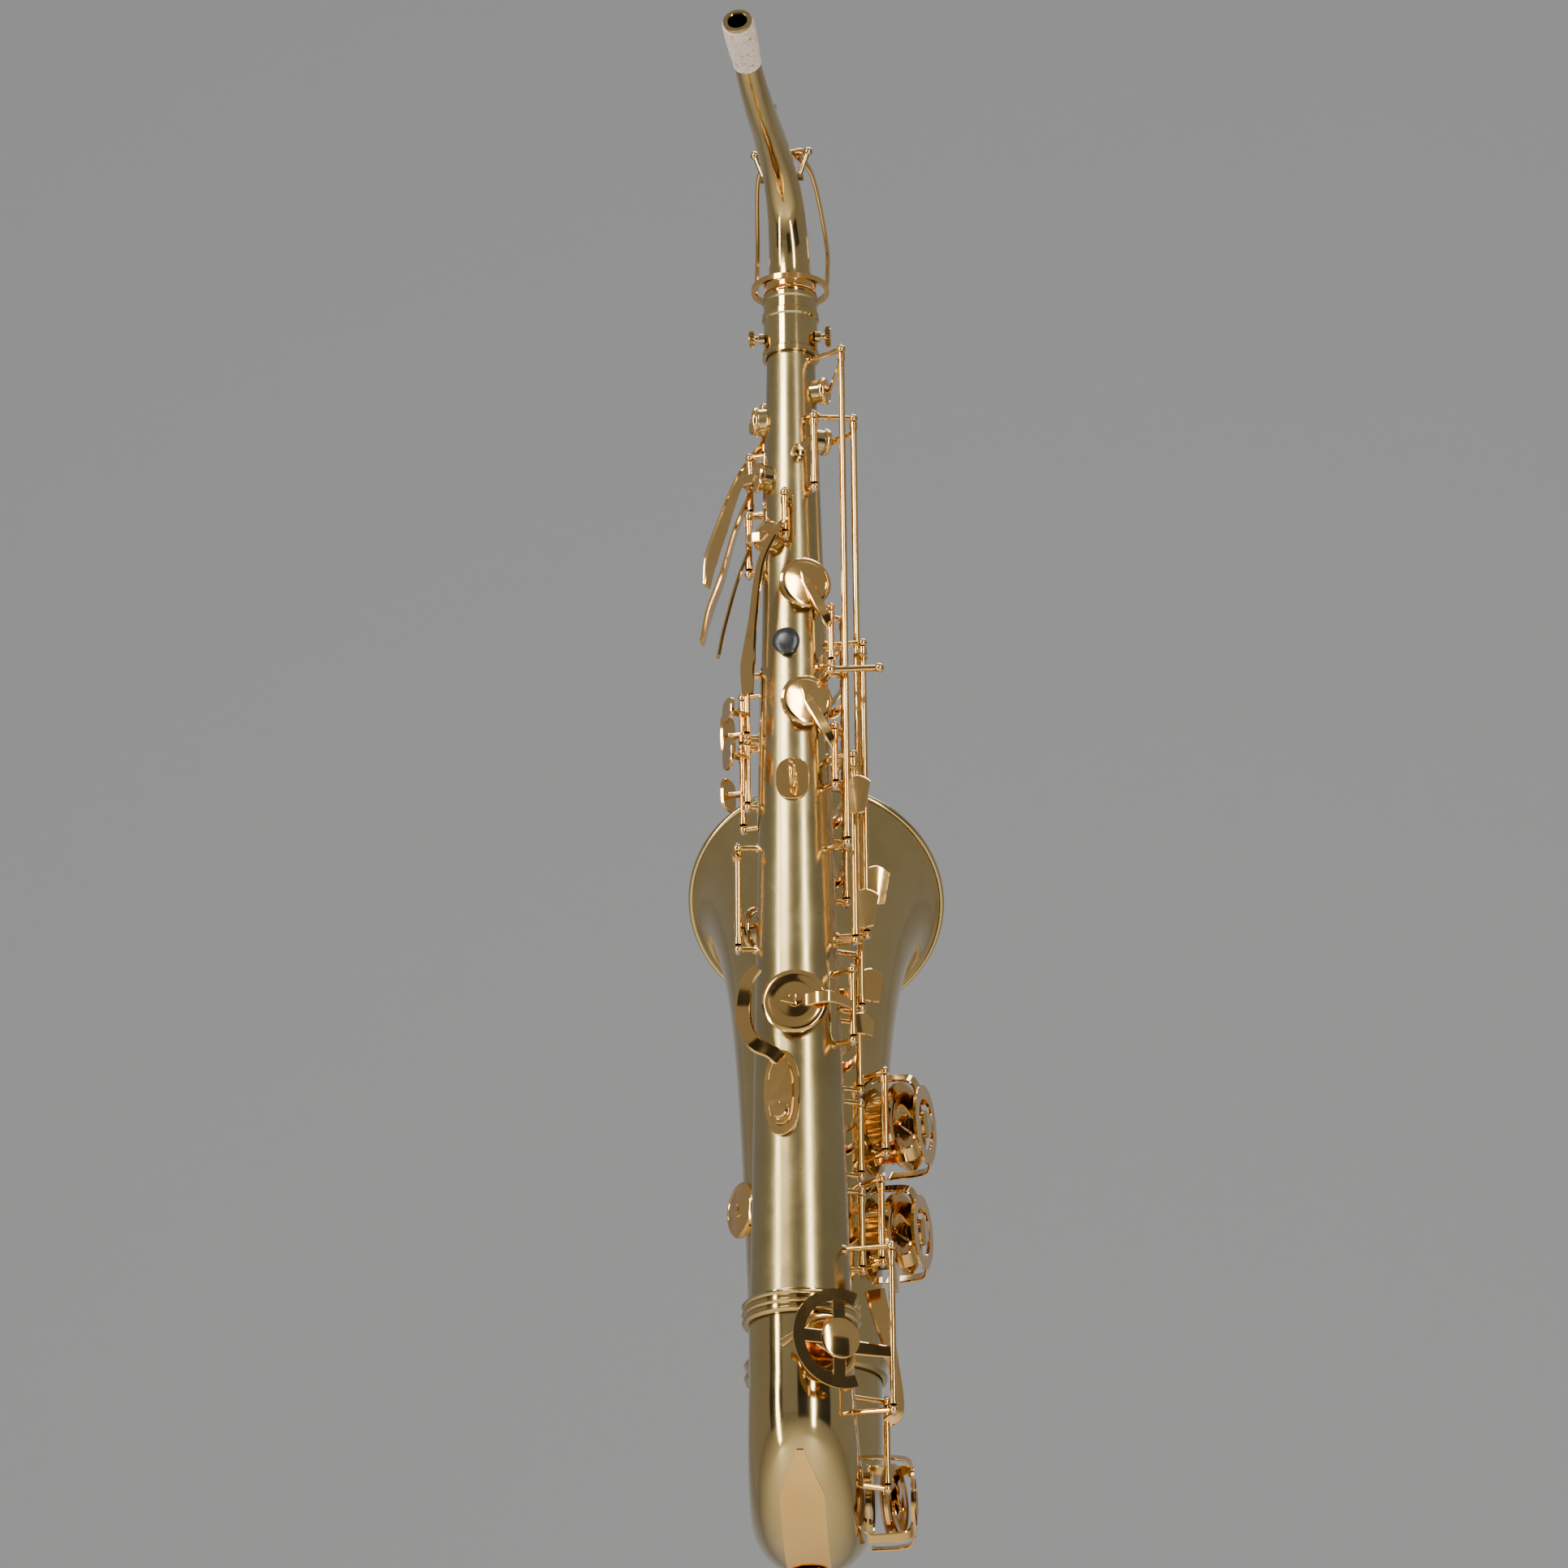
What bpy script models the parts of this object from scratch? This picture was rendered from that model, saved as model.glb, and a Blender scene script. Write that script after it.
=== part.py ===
"""Tenor saxophone: body tube, bow and bell with tone holes, neck, and keywork on hinge rods.

Lengths below are in millimetres and are scaled to metres when the meshes are made. The frame has
+Z along the body tube, +X to the player's right, and +Y from the player towards the bell. The
origin is on the flat rest of the bow's guard plate.
"""
import math

import bpy
import numpy as np

FINE = False
MM = 0.001

# ---------------------------------------------------------------- sizes (mm)
BODY_Y = -60.0          # body tube axis
BELL_Y = 60.0           # bell axis beside the body
Z_JOIN = 134.0          # where the bow ends and body tube and bell begin
Z_TOP = 770.0           # top of the body tube
Z_RECEIVER = 790.0      # top of the neck receiver
R_BODY_LOW, R_BODY_TOP = 30.0, 14.3
BOW_Z, BOW_R = 98.0, 60.0
R_BOW_BODY, R_BOW_BELL = 30.6, 39.4
WALL = 1.2
GAP = 0.3
RIM_R = 78.0
CHIMNEY = 4.0           # tone hole chimney height above the tube
BELL_STATIONS = ((134, 60, 0, 39.5), (180, 60, 0, 40.3), (230, 60.5, 2, 41.8), (285, 62, 6, 44.0),
                 (335, 66, 12, 47.0), (378, 73, 20, 51.5), (411, 83, 29, 57.5), (436, 95, 37.5, 65.0),
                 (450, 104, 43, 71.8), (456, 107.5, 46, 76.6))
NECK_SWING = math.radians(4.6)


def vec(*a):
    return np.array(a, float)


def unit(a):
    a = np.asarray(a, float)
    return a / np.linalg.norm(a)


def bell_r(z):
    """Radius of the bell at a height, on the straight lower part."""
    for (z0, _, _, r0), (z1, _, _, r1) in zip(BELL_STATIONS, BELL_STATIONS[1:]):
        if z <= z1:
            return r0 + (r1 - r0) * (z - z0) / (z1 - z0)


def bell_y(z):
    for (z0, y0, _, _), (z1, y1, _, _) in zip(BELL_STATIONS, BELL_STATIONS[1:]):
        if z <= z1:
            return y0 + (y1 - y0) * (z - z0) / (z1 - z0)


def body_r(z):
    return R_BODY_LOW + (z - Z_JOIN) * (R_BODY_TOP - R_BODY_LOW) / (Z_TOP - Z_JOIN)


def around(z, phi, r):
    """A point at radius r about the body axis; phi 0 faces -Y and grows towards +X."""
    a = math.radians(phi)
    return vec(r * math.sin(a), BODY_Y - r * math.cos(a), z)


def outward(phi):
    a = math.radians(phi)
    return vec(math.sin(a), -math.cos(a), 0)


def frames(points, up=None, tangents=None):
    points = [np.asarray(p, float) for p in points]
    n = len(points)
    if tangents is None:
        tangents = []
        for i in range(n):
            a = points[max(i - 1, 0)]
            b = points[min(i + 1, n - 1)]
            tangents.append(unit(b - a))
    out = []
    u = None
    for t in tangents:
        t = unit(t)
        if up is not None:
            u = np.cross(up, t)
            if np.linalg.norm(u) < 1e-6:
                u = np.cross(vec(0.3, 0.7, 0.2), t)
        elif u is None:
            u = np.cross(vec(1, 0, 0) if abs(t[0]) < 0.9 else vec(0, 1, 0), t)
        else:
            u = u - t * np.dot(u, t)
        u = unit(u)
        out.append((t, u, np.cross(t, u)))
    return out


def ring(c, u, v, r, n):
    a = np.arange(n) * 2 * math.pi / n
    return c + r * (np.outer(np.cos(a), u) + np.outer(np.sin(a), v))


def skin(rings, wrap=False):
    """Joins rings of equal count; closes with end caps, or round on itself when wrap."""
    n = len(rings[0])
    m = len(rings)
    verts = np.concatenate(rings)
    faces = []
    for i in range(m if wrap else m - 1):
        j = (i + 1) % m
        for k in range(n):
            l = (k + 1) % n
            faces.append((i * n + k, i * n + l, j * n + l, j * n + k))
    if not wrap:
        faces.append(tuple(range(n - 1, -1, -1)))
        faces.append(tuple((m - 1) * n + k for k in range(n)))
    return fix(verts, faces)


def fix(verts, faces):
    """Turns the faces outwards, by the signed volume."""
    vol = 0.0
    for f in faces:
        a = verts[f[0]]
        for i in range(1, len(f) - 1):
            vol += np.dot(a, np.cross(verts[f[i]], verts[f[i + 1]]))
    if vol < 0:
        faces = [tuple(reversed(f)) for f in faces]
    return verts, faces


def sides(lo, hi):
    return hi if FINE else lo


def loft(points, radii, n=12, tangents=None):
    fr = frames(points, tangents=tangents)
    return skin([ring(np.asarray(p, float), f[1], f[2], r, n) for p, f, r in zip(points, fr, radii)])


def pipe(points, outer, inner, n=16, tangents=None):
    fr = frames(points, tangents=tangents)
    out = [ring(np.asarray(p, float), f[1], f[2], r, n) for p, f, r in zip(points, fr, outer)]
    inn = [ring(np.asarray(p, float), f[1], f[2], r, n) for p, f, r in zip(points, fr, inner)]
    return skin(out + inn[::-1], wrap=True)


def cyl(a, b, r, n=8, r1=None):
    return loft([a, b], [r, r if r1 is None else r1], n)


def turned(profile, c, axis, n=16):
    """profile is (radius, height) pairs from one end to the other, solid."""
    axis = unit(axis)
    c = np.asarray(c, float)
    f = frames([c, c + axis])[0]
    return skin([ring(c + axis * h, f[1], f[2], max(r, 0.05), n) for r, h in profile])


def ring_turned(profile, c, axis, n=16):
    """A closed profile of (radius, height) pairs turned into a ring."""
    axis = unit(axis)
    c = np.asarray(c, float)
    f = frames([c, c + axis])[0]
    return skin([ring(c + axis * h, f[1], f[2], r, n) for r, h in profile], wrap=True)


def ball(c, r, n=8):
    k = sides(3, 10)
    prof = []
    for i in range(k + 1):
        a = -math.pi / 2 + math.pi * i / k
        prof.append((max(r * math.cos(a), r * 0.12), r * math.sin(a)))
    return turned(prof, c, (0.1, 0.2, 1), sides(6, 20))


def bar(points, widths, thick, up):
    """A flat strip along points; width lies across up, thickness along up."""
    fr = frames(points, up=up)
    rings = []
    for p, (t, u, v), w in zip(points, fr, widths):
        p = np.asarray(p, float)
        if FINE:
            e = min(0.35 * thick, 0.3 * w)
            cs = ((w / 2, thick / 2 - e), (w / 2 - e, thick / 2), (-w / 2 + e, thick / 2), (-w / 2, thick / 2 - e),
                  (-w / 2, -thick / 2 + e), (-w / 2 + e, -thick / 2), (w / 2 - e, -thick / 2), (w / 2, -thick / 2 + e))
        else:
            cs = ((w / 2, thick / 2), (-w / 2, thick / 2), (-w / 2, -thick / 2), (w / 2, -thick / 2))
        rings.append(np.array([p + u * a + v * b for a, b in cs]))
    return skin(rings)


def smooth_path(points, k):
    """Catmull-Rom through the points, k pieces in each span."""
    p = [np.asarray(q, float) for q in points]
    p = [2 * p[0] - p[1]] + p + [2 * p[-1] - p[-2]]
    out = []
    for i in range(1, len(p) - 2):
        for j in range(k):
            t = j / k
            a, b, c, d = p[i - 1], p[i], p[i + 1], p[i + 2]
            out.append(0.5 * (2 * b + (c - a) * t + (2 * a - 5 * b + 4 * c - d) * t * t + (3 * b - a - 3 * c + d) * t ** 3))
    out.append(p[-2])
    return out


def slab(outline, c, ux, uy, thick):
    """A plate of the given 2D outline, centred in thickness on c."""
    c, ux, uy = np.asarray(c, float), unit(ux), unit(uy)
    nz = np.cross(ux, uy)
    pts = np.array([c + ux * a + uy * b for a, b in outline])
    if FINE:
        mid = pts.mean(axis=0)
        e = min(0.3 * thick, 0.4)
        inner = pts + (mid - pts) / np.linalg.norm(mid - pts, axis=1)[:, None] * e
        return skin([inner - nz * thick / 2, pts - nz * (thick / 2 - e), pts + nz * (thick / 2 - e), inner + nz * thick / 2])
    return skin([pts - nz * thick / 2, pts + nz * thick / 2])


def oval(a, b, n):
    return [(a * math.cos(2 * math.pi * i / n), b * math.sin(2 * math.pi * i / n)) for i in range(n)]


def squircle(a, b, n, p=3.0):
    out = []
    for i in range(n):
        t = 2 * math.pi * (i + 0.5) / n
        c, s = math.cos(t), math.sin(t)
        out.append((a * math.copysign(abs(c) ** (2 / p), c), b * math.copysign(abs(s) ** (2 / p), s)))
    return out


def turn(mesh, pos, axis, angle):
    """Rotates a mesh about a line, by the right-hand rule, angle in degrees."""
    v, f = mesh
    k = unit(axis)
    a = math.radians(angle)
    d = v - pos
    w = d * math.cos(a) + np.cross(k, d) * math.sin(a) + np.outer(d @ k, k) * (1 - math.cos(a))
    return w + pos, f


# ---------------------------------------------------------------- tubes
def bow_line(n):
    pts, rad, tan = [], [], []
    spans = [(-BOW_R, z) for z in (Z_JOIN - GAP,)]
    steps = [(vec(0, -BOW_R, Z_JOIN - GAP), vec(0, 0, -1), 0.0)]
    for i in range(n + 1):
        a = math.pi * i / n
        steps.append((vec(0, -BOW_R * math.cos(a), BOW_Z - BOW_R * math.sin(a)), vec(0, math.sin(a), -math.cos(a)), None))
    steps.append((vec(0, BOW_R, Z_JOIN - GAP), vec(0, 0, 1), 1.0))
    m = len(steps)
    for i, (p, t, _) in enumerate(steps):
        pts.append(p)
        tan.append(t)
        rad.append(R_BOW_BODY + (R_BOW_BELL - R_BOW_BODY) * min(max((i - 1) / (m - 3), 0), 1))
    return pts, rad, tan


def bow_mesh():
    pts, rad, tan = bow_line(sides(9, 48))
    return pipe(pts, rad, [r - WALL for r in rad], sides(18, 96), tan)


def interp_stations(k):
    st = BELL_STATIONS
    arr = [vec(*s) for s in st]
    return smooth_path(arr, k)


def bell_mesh():
    st = interp_stations(sides(1, 6))
    pts = [vec(0, s[1], s[0]) for s in st]
    tan = [vec(0, math.sin(math.radians(s[2])), math.cos(math.radians(s[2]))) for s in st]
    rad = [s[3] for s in st]
    return pipe(pts, rad, [r - WALL for r in rad], sides(24, 128), tan)


def rim_frame():
    s = BELL_STATIONS[-1]
    t = math.radians(s[2])
    axis = vec(0, math.sin(t), math.cos(t))
    return vec(0, s[1], s[0]), axis


def rim_mesh():
    c, axis = rim_frame()
    k = sides(5, 14)
    prof = []
    for i in range(k):
        a = 2 * math.pi * i / k
        prof.append((RIM_R - 0.6 + 2.1 * math.cos(a), 2.1 + GAP + 2.1 * math.sin(a)))
    return ring_turned(prof, c, axis, sides(24, 128))


def body_shell():
    zs = [Z_JOIN, Z_TOP] if not FINE else [Z_JOIN + (Z_TOP - Z_JOIN) * i / 24 for i in range(25)]
    pts = [vec(0, BODY_Y, z) for z in zs]
    return pts, [body_r(z) for z in zs]


def neck_line(n=5):
    raw = ((0, 791), (0.6, 810), (5.5, 830), (19, 849), (44, 860), (78, 864), (112, 865), (146, 869), (180, 877.5), (196, 882))
    s, c = math.sin(NECK_SWING), math.cos(NECK_SWING)
    p = smooth_path([vec(-d * s, BODY_Y - d * c, z) for d, z in raw], n)
    return p


def neck_radii(pts, r0, r1):
    m = len(pts) - 1
    return [r0 + (r1 - r0) * (i / m) ** 0.9 for i in range(m + 1)]


# ---------------------------------------------------------------- key parts
def cup(c, n, r, h=3.6):
    """Round key cup with a domed back, its open side on c, its back along n."""
    prof = [(r * 0.97, 0.0), (r, 0.5), (r, h * 0.62), (r * 0.93, h * 0.85)]
    if not FINE:
        prof = [(r * 0.98, 0.0), (r, h * 0.6)]
    if FINE:
        prof += [(r * 0.9, h * 0.92), (r * 0.80, h * 0.96), (r * 0.78, h * 0.9), (r * 0.5, h * 1.02), (r * 0.22, h * 1.08), (r * 0.2, h * 1.3), (r * 0.06, h * 1.36)]
    else:
        prof += [(r * 0.55, h * 1.0)]
    return turned(prof, c, n, sides(12, 56))


def chimney_hole(c, n, r, deep=12):
    n = unit(n)
    return cyl(c - n * deep, c + n * (CHIMNEY + 6), r, sides(8, 40))


def chimney(c, n, r, deep=5):
    n = unit(n)
    return cyl(c - n * deep, c + n * CHIMNEY, r, sides(8, 48))
# ---------------------------------------------------------------- keywork
class Key:
    """Pieces of one key, drawn closed, with its hinge line and how far it stands open at rest."""

    def __init__(self, name, low, high, open_deg=0.0, travel=8.0, side=1):
        self.name = name
        self.low, self.high = np.asarray(low, float), np.asarray(high, float)
        self.axis = unit(self.high - self.low)
        self.open_deg, self.travel, self.side = open_deg, travel, side
        self.pieces = []
        self.pads = []
        self.pad = None
        self.extras = []
        self.feet = []
        d = self.axis
        self.pieces.append(cyl(self.low + d * 3.1, self.high - d * 3.1, 2.0, sides(6, 24)))
        if FINE:
            for e, s in ((self.low + d * 3.1, 1), (self.high - d * 3.1, -1)):
                self.pieces.append(cyl(e, e + d * s * 4.0, 2.5, 24))

    def add(self, *meshes):
        self.pieces.extend(meshes)
        return self

    def cup(self, c, n, r, back=None, arm=5.0, via=None, h=3.6, pad=False):
        """A cup over the tone hole at c, with an arm from the hinge rod at the point back."""
        n = unit(n)
        c = np.asarray(c, float)
        if pad:
            self.pad = turned([(r * 0.88, 0.0), (r * 0.93, 0.4), (r * 0.93, 1.8), (r * 0.88, 2.2)], c + n * (CHIMNEY + GAP), n, sides(14, 64))
            c = c + n * 2.5
        self.pieces.append(cup(c + n * (CHIMNEY + GAP), n, r, h))
        self.pads.append((c + n * (CHIMNEY + GAP), n, r))
        if FINE:
            base = c + n * (CHIMNEY + GAP)
            self.extras.append((turned([(r * 0.90, -0.22), (r * 0.92, 0.1), (r * 0.92, 0.6)], base, n, 56), "leather"))
            self.extras.append((turned([(r * 0.34, -0.34), (r * 0.36, -0.1), (r * 0.36, 0.3)], base, n, 32), "keys"))
        top = c + n * (CHIMNEY + GAP + h + 0.4)
        start = np.asarray(back, float)
        d = unit(top - start)
        far = top + d * r * 0.45
        far = far - n * np.dot(far - top, n)
        pts = [start] + [np.asarray(p, float) for p in (via or [])] + [top - d * r * 0.3 + n * 0.6, top, far]
        pts = smooth_path(pts, sides(1, 6))
        m = len(pts) - 1
        ws = [arm + (arm * 0.35) * math.sin(math.pi * i / m) if i < m * 0.75 else arm * (1.15 - 0.9 * (i / m - 0.75) / 0.25) for i in range(m + 1)]
        self.pieces.append(bar(pts, ws, 2.0, n))
        return self

    def touch(self, pts, widths, thick, up):
        if up is None:
            up = unit(np.cross(np.asarray(pts[-1]) - np.asarray(pts[0]), vec(0, 0, 1)))
        self.pieces.append(bar(smooth_path(pts, sides(1, 8)), spread(widths, len(pts), sides(1, 8)), thick, up))
        return self

    def posed(self, mesh):
        return turn(mesh, self.low, self.axis, self.side * self.open_deg) if self.open_deg else mesh


def spread(widths, n, k):
    """Widths at the smooth path's points, from one width at each control point."""
    out = []
    for i in range(n - 1):
        for j in range(k):
            out.append(widths[i] + (widths[i + 1] - widths[i]) * j / k)
    return out + [widths[-1]]


def post(at, foot, r=1.6):
    if not FINE:
        return [cyl(foot, at + unit(at - foot) * 2.2, r, 5, 2.5)]
    return [cyl(foot, at, r, 20), ball(at, 2.8, 8)] + ([cyl(foot, foot + unit(at - foot) * 2.2, 3.2, 24, 2.6)] if FINE else [])


def body_posts(key):
    """Both posts of a key whose rod runs beside the body tube."""
    out = []
    for p in (key.low, key.high):
        axis_pt = vec(0, BODY_Y, p[2])
        d = unit(p - axis_pt)
        out += post(p, axis_pt + d * (body_r(p[2]) - 0.9))
    return out


def side_of(key, c, n):
    """+1 when turning by the right-hand rule lifts the cup off its hole."""
    v = np.cross(key.axis, np.asarray(c, float) - key.low)
    return 1 if np.dot(v, n) > 0 else -1


TONE = []      # tone holes in the body tube: (point, normal, hole radius)
BELL_TONE = []
BOW_TONE = []
KEYS = {}
POSTS = {"body_tube": [], "bell": [], "bow": []}


def on_body(name, z, phi, r, rod_phi, rod_r, z0, z1, open_deg=0.0, travel=8.0, zarm=None, arm=5.0, via=None):
    low, high = around(z0, rod_phi, rod_r), around(z1, rod_phi, rod_r)
    k = Key(name, low, high, open_deg, travel)
    c, n = around(z, phi, body_r(z)), outward(phi)
    k.side = side_of(k, c, n)
    zarm = z if zarm is None else zarm
    if via is None and abs((rod_phi - phi + 180) % 360 - 180) > 25:
        via = [around((z + zarm) / 2, (phi + rod_phi) / 2, max(rod_r, body_r(z) + 8.3) + 3.0)]
    k.cup(c, n, r, around(zarm, rod_phi, rod_r), arm, via)
    TONE.append((c, n, r * 0.74))
    POSTS["body_tube"] += body_posts(k)
    KEYS[name] = k
    return k


def pearl_touch(k, z, phi, r, rod_phi, rod_r, size=7.0):
    """A finger touch: a dished disc at radius r, on an arm from the rod."""
    n = outward(phi)
    c = around(z, phi, r)
    if FINE:
        k.extras.append((turned([(size * 0.86, 1.2), (size * 0.86, 1.9), (size * 0.7, 2.15), (size * 0.35, 1.95), (size * 0.1, 1.9)], c, n, 40), "pearl"))
    k.pieces.append(turned([(size * 0.8, -1.6), (size, -0.6), (size, 1.4), (size * 0.8, 1.6)], c, n, sides(10, 40)))
    k.pieces.append(bar(smooth_path([around(z, rod_phi, rod_r), around(z, (rod_phi + phi) / 2, max(rod_r, r) + 1.5), c], sides(1, 8)),
                        spread([4.5, 4.5, 4.5], 3, sides(1, 8)), 1.8, n))


# upper and lower stacks, on the side away from the player
for nm, z, r, z0, z1 in (("aux_c_key", 566, 10, 549, 583), ("b_key", 528, 12.5, 510, 546), ("bis_key", 492, 11, 476, 507),
                         ("a_key", 456, 14, 438, 473), ("g_key", 418, 15, 400, 435)):
    k = on_body(nm, z, 172, r, 118, 32.5, z0, z1, open_deg=7.0, travel=7.0)
    if nm in ("b_key", "a_key", "g_key", "bis_key"):
        pearl_touch(k, z1 - 8, 205, 40, 118, 32.5, 7.0 if nm != "bis_key" else 4.5)
for nm, z, r, z0, z1 in (("aux_fsharp_key", 350, 16, 331, 368), ("f_key", 304, 18, 283, 325), ("e_key", 252, 19.5, 230, 275), ("d_key", 196, 20.5, 172, 220)):
    k = on_body(nm, z, 172, r, 118, 39.5, z0, z1, open_deg=7.0, travel=7.0)
    if nm != "aux_fsharp_key":
        pearl_touch(k, z1 - 8.5, 205, 47, 118, 39.5, 7.5)

# side C and side B flat cups on the back right, with their long levers
k = on_body("side_c_key", 592, 21, 16, 52, 30, 541, 577, travel=9, zarm=563, via=[around(571, 40, 31)])
k = on_body("side_bflat_key", 515, 20, 16, 52, 32, 462, 500, travel=9, zarm=486, via=[around(494, 40, 33)])
for nm, ph, rr, z0, z1, zt in (("side_c_lever", 84, 42, 372, 559, 402), ("side_bflat_lever", 70, 38, 366, 484, 384)):
    k = Key(nm, around(z0, ph, rr), around(z1, ph, rr), 0, 8, -1)
    zc = z1 - 10
    k.touch([around(zc, ph, rr), around(zc, ph - 5, rr + 0.3), around(zc, ph - 10, rr - 1.5)], [6, 5, 4], 2.0, vec(0, 0, 1))
    k.touch([around(zt, ph, rr), around(zt + 1, ph + 1.5, rr + 6), around(zt, ph + 4, rr + 12)], [22, 26, 20], 2.2, None)
    POSTS["body_tube"] += body_posts(k)
    KEYS[nm] = k
# high E and high F sharp, with long rods to the right hand
k = on_body("side_e_key", 726, 78, 8.5, 54, 40, 424, 745, travel=9, zarm=738, arm=4.0)
k.touch([around(452, 54, 40), around(453, 57, 46), around(452, 61, 51)], [20, 26, 20], 2.2, None)
k = on_body("high_fsharp_key", 698, 116, 8.5, 100, 38, 330, 712, travel=9, zarm=702, arm=4.0)
k.touch([around(344, 100, 38), around(345, 102, 44), around(344, 105, 50)], [18, 22, 18], 2.2, None)
# F sharp trill on the back of the body
k = on_body("fsharp_trill_key", 323, 1, 19.5, 58, 40, 301, 345, travel=8, arm=6)
k.touch([around(311, 58, 40), around(312, 66, 44), around(311, 76, 46)], [12, 14, 10], 2.0, None)
# palm keys on the left
k = on_body("palm_d_key", 625, -38, 10, -78, 27, 606, 644, travel=9)
k.touch([around(622, -78, 27), around(606, -84, 33), around(590, -88, 38), around(572, -92, 43), around(556, -92, 46)], [7, 9, 12, 13, 8], 2.2, outward(-80))
k = on_body("palm_eflat_key", 668, -64, 9.5, -104, 27, 650, 688, travel=9)
k.touch([around(664, -104, 27), around(640, -100, 36), around(610, -98, 44), around(586, -96, 52), around(566, -94, 56)], [6, 9, 13, 14, 8], 2.2, outward(-92))
k = on_body("palm_f_key", 710, -96, 9, -136, 26, 694, 727, travel=9)
k.touch([around(704, -136, 26), around(680, -122, 40), around(650, -116, 50), around(628, -112, 56), around(610, -110, 58)], [6, 9, 13, 14, 8], 2.2, outward(-112))
# G sharp cup on the left front
k = on_body("gsharp_key", 384, 236, 15, 276, 35, 366, 430, travel=8)
k.touch([around(422, 276, 35), around(424, 282, 36.5), around(424, 289, 38)], [6, 5, 4], 2.0, vec(0, 0, 1))

# left little finger table: four touches on two hinge rods
for nm, za, zb, ph, rr, zt, h, out in (("gsharp_touch", 500, 540, -78, 29, 514, 11, 3), ("csharp_touch", 455, 497, -78, 29, 486, 16, 3),
                                       ("low_b_touch", 500, 532, -108, 34, 508, 22, 3), ("low_bflat_touch", 447, 497, -108, 34, 470, 16, 3)):
    k = Key(nm, around(za, ph, rr), around(zb, ph, rr), 0, 7, -1)
    n = outward(ph - 4)
    c = around(zt, ph + 2, rr + 9)
    if nm in ("gsharp_touch", "csharp_touch"):
        c = around(zt, -67, 42)
        n = outward(-67)
    tang = unit(np.cross(vec(0, 0, 1), n))
    k.pieces.append(slab(squircle(8.5, h * 0.62, sides(10, 40)), c, tang, vec(0, 0, 1), 2.4))
    zs = min(max(zt, za + 8), zb - 8)
    k.touch([around(zs, ph, rr), (around(zs, ph, rr) + c) / 2 + n * 1.0, c - n * 0.4], [6, 6, 6], 2.2, np.cross(n, vec(0, 0, 1)) * 0 + vec(0, 0, 1))
    POSTS["body_tube"] += body_posts(k)
    KEYS[nm] = k

# octave mechanism
k = Key("octave_thumb_lever", around(622, -6, 27), around(650, -6, 27), 0, 8, 1)
KEYS["octave_thumb_lever"] = k
k.side = 1
k.touch([around(632, -6, 27), around(622, -14, 34), around(602, -30, 35), around(568, -44, 33), around(542, -53, 33), around(522, -54, 33)], [6, 6, 6, 7, 12, 9], 2.2, outward(-38))
POSTS["body_tube"] += body_posts(k)
k = on_body("body_octave_key", 680, 16, 4.2, 38, 24, 656, 704, travel=6, arm=3.6, zarm=690)
# neck octave key: hinge across the back of the neck, ring loop round the receiver
NECK_HINGE = vec(0, BODY_Y - 8, 0)


def neck_dir():
    return vec(-math.sin(NECK_SWING), -math.cos(NECK_SWING), 0), vec(math.cos(NECK_SWING), -math.sin(NECK_SWING), 0)


def neck_pt(d, z, x=0.0):
    f, s = neck_dir()
    return vec(0, BODY_Y, 0) + f * d + s * x + vec(0, 0, z)


k = Key("neck_octave_key", neck_pt(30, 876, -16.6), neck_pt(30, 876, 16.6), 0, 2.4, 1)
k.touch([neck_pt(30, 876), neck_pt(54, 882.5), neck_pt(80, 883)], [9, 7, 5], 1.8, vec(0, 0, 1))
k.pieces.append(turned([(4.6, 0), (5.0, 0.4), (5.0, 2.6), (3.0, 3.4)], neck_pt(80, 883.1 - 2.4), vec(0, 0, 1), sides(10, 32)))
k.pads.append((neck_pt(80, 880.7), vec(0, 0, 1), 5.0))
for s in (-1, 1):
    k.touch([neck_pt(30, 876, s * 8), neck_pt(15, 866, s * 17), neck_pt(-10, 832, s * 21.5), neck_pt(-9, 808, s * 22.0), neck_pt(-4, 797, s * 22.0)],
            [5, 5, 5, 5, 5], 2.4, neck_dir()[1])
k.pieces.append(ring_turned([(21.6, -1.7), (24.0, -1.7), (24.0, 1.7), (21.6, 1.7)], vec(0, BODY_Y, 796.5), (0, 0, 1), sides(20, 96)))
KEYS["neck_octave_key"] = k


def on_bell(name, z, phi, r, rod, z0, z1, store, open_deg, sidexyz=None):
    """A key over a hole in the bell's right flank; phi as around the bell axis."""
    low, high = rod + vec(0, 0, z0), rod + vec(0, 0, z1)
    k = Key(name, low, high, open_deg, open_deg)
    n = outward(phi)
    rb = bell_r(z)
    c = vec(0, bell_y(z), z) + n * rb
    k.side = side_of(k, c, n)
    k.cup(c, n, r, rod + vec(0, 0, z), 8.0, h=5.0, pad=r > 20)
    k.cup_at = c
    BELL_TONE.append((c, n, r * 0.78))
    for p in (low, high):
        d = unit(p - vec(0, bell_y(p[2]), p[2]))
        POSTS["bell"] += post(p, vec(0, bell_y(p[2]), p[2]) + d * (bell_r(p[2]) * 0.9937 - 0.7))
    KEYS[name] = k
    return k


on_bell("low_bflat_key", 290, 78, 27.0, vec(46, 22, 0), 264, 316, "bell", 9.5)
on_bell("low_b_key", 222, 78, 25.0, vec(43, 21, 0), 196, 248, "bell", 9.5)
k = on_bell("low_csharp_key", 236, -60, 17.0, vec(-21, 13, 0), 216, 258, "bell", 0.0)
k.travel = 8.0

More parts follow.
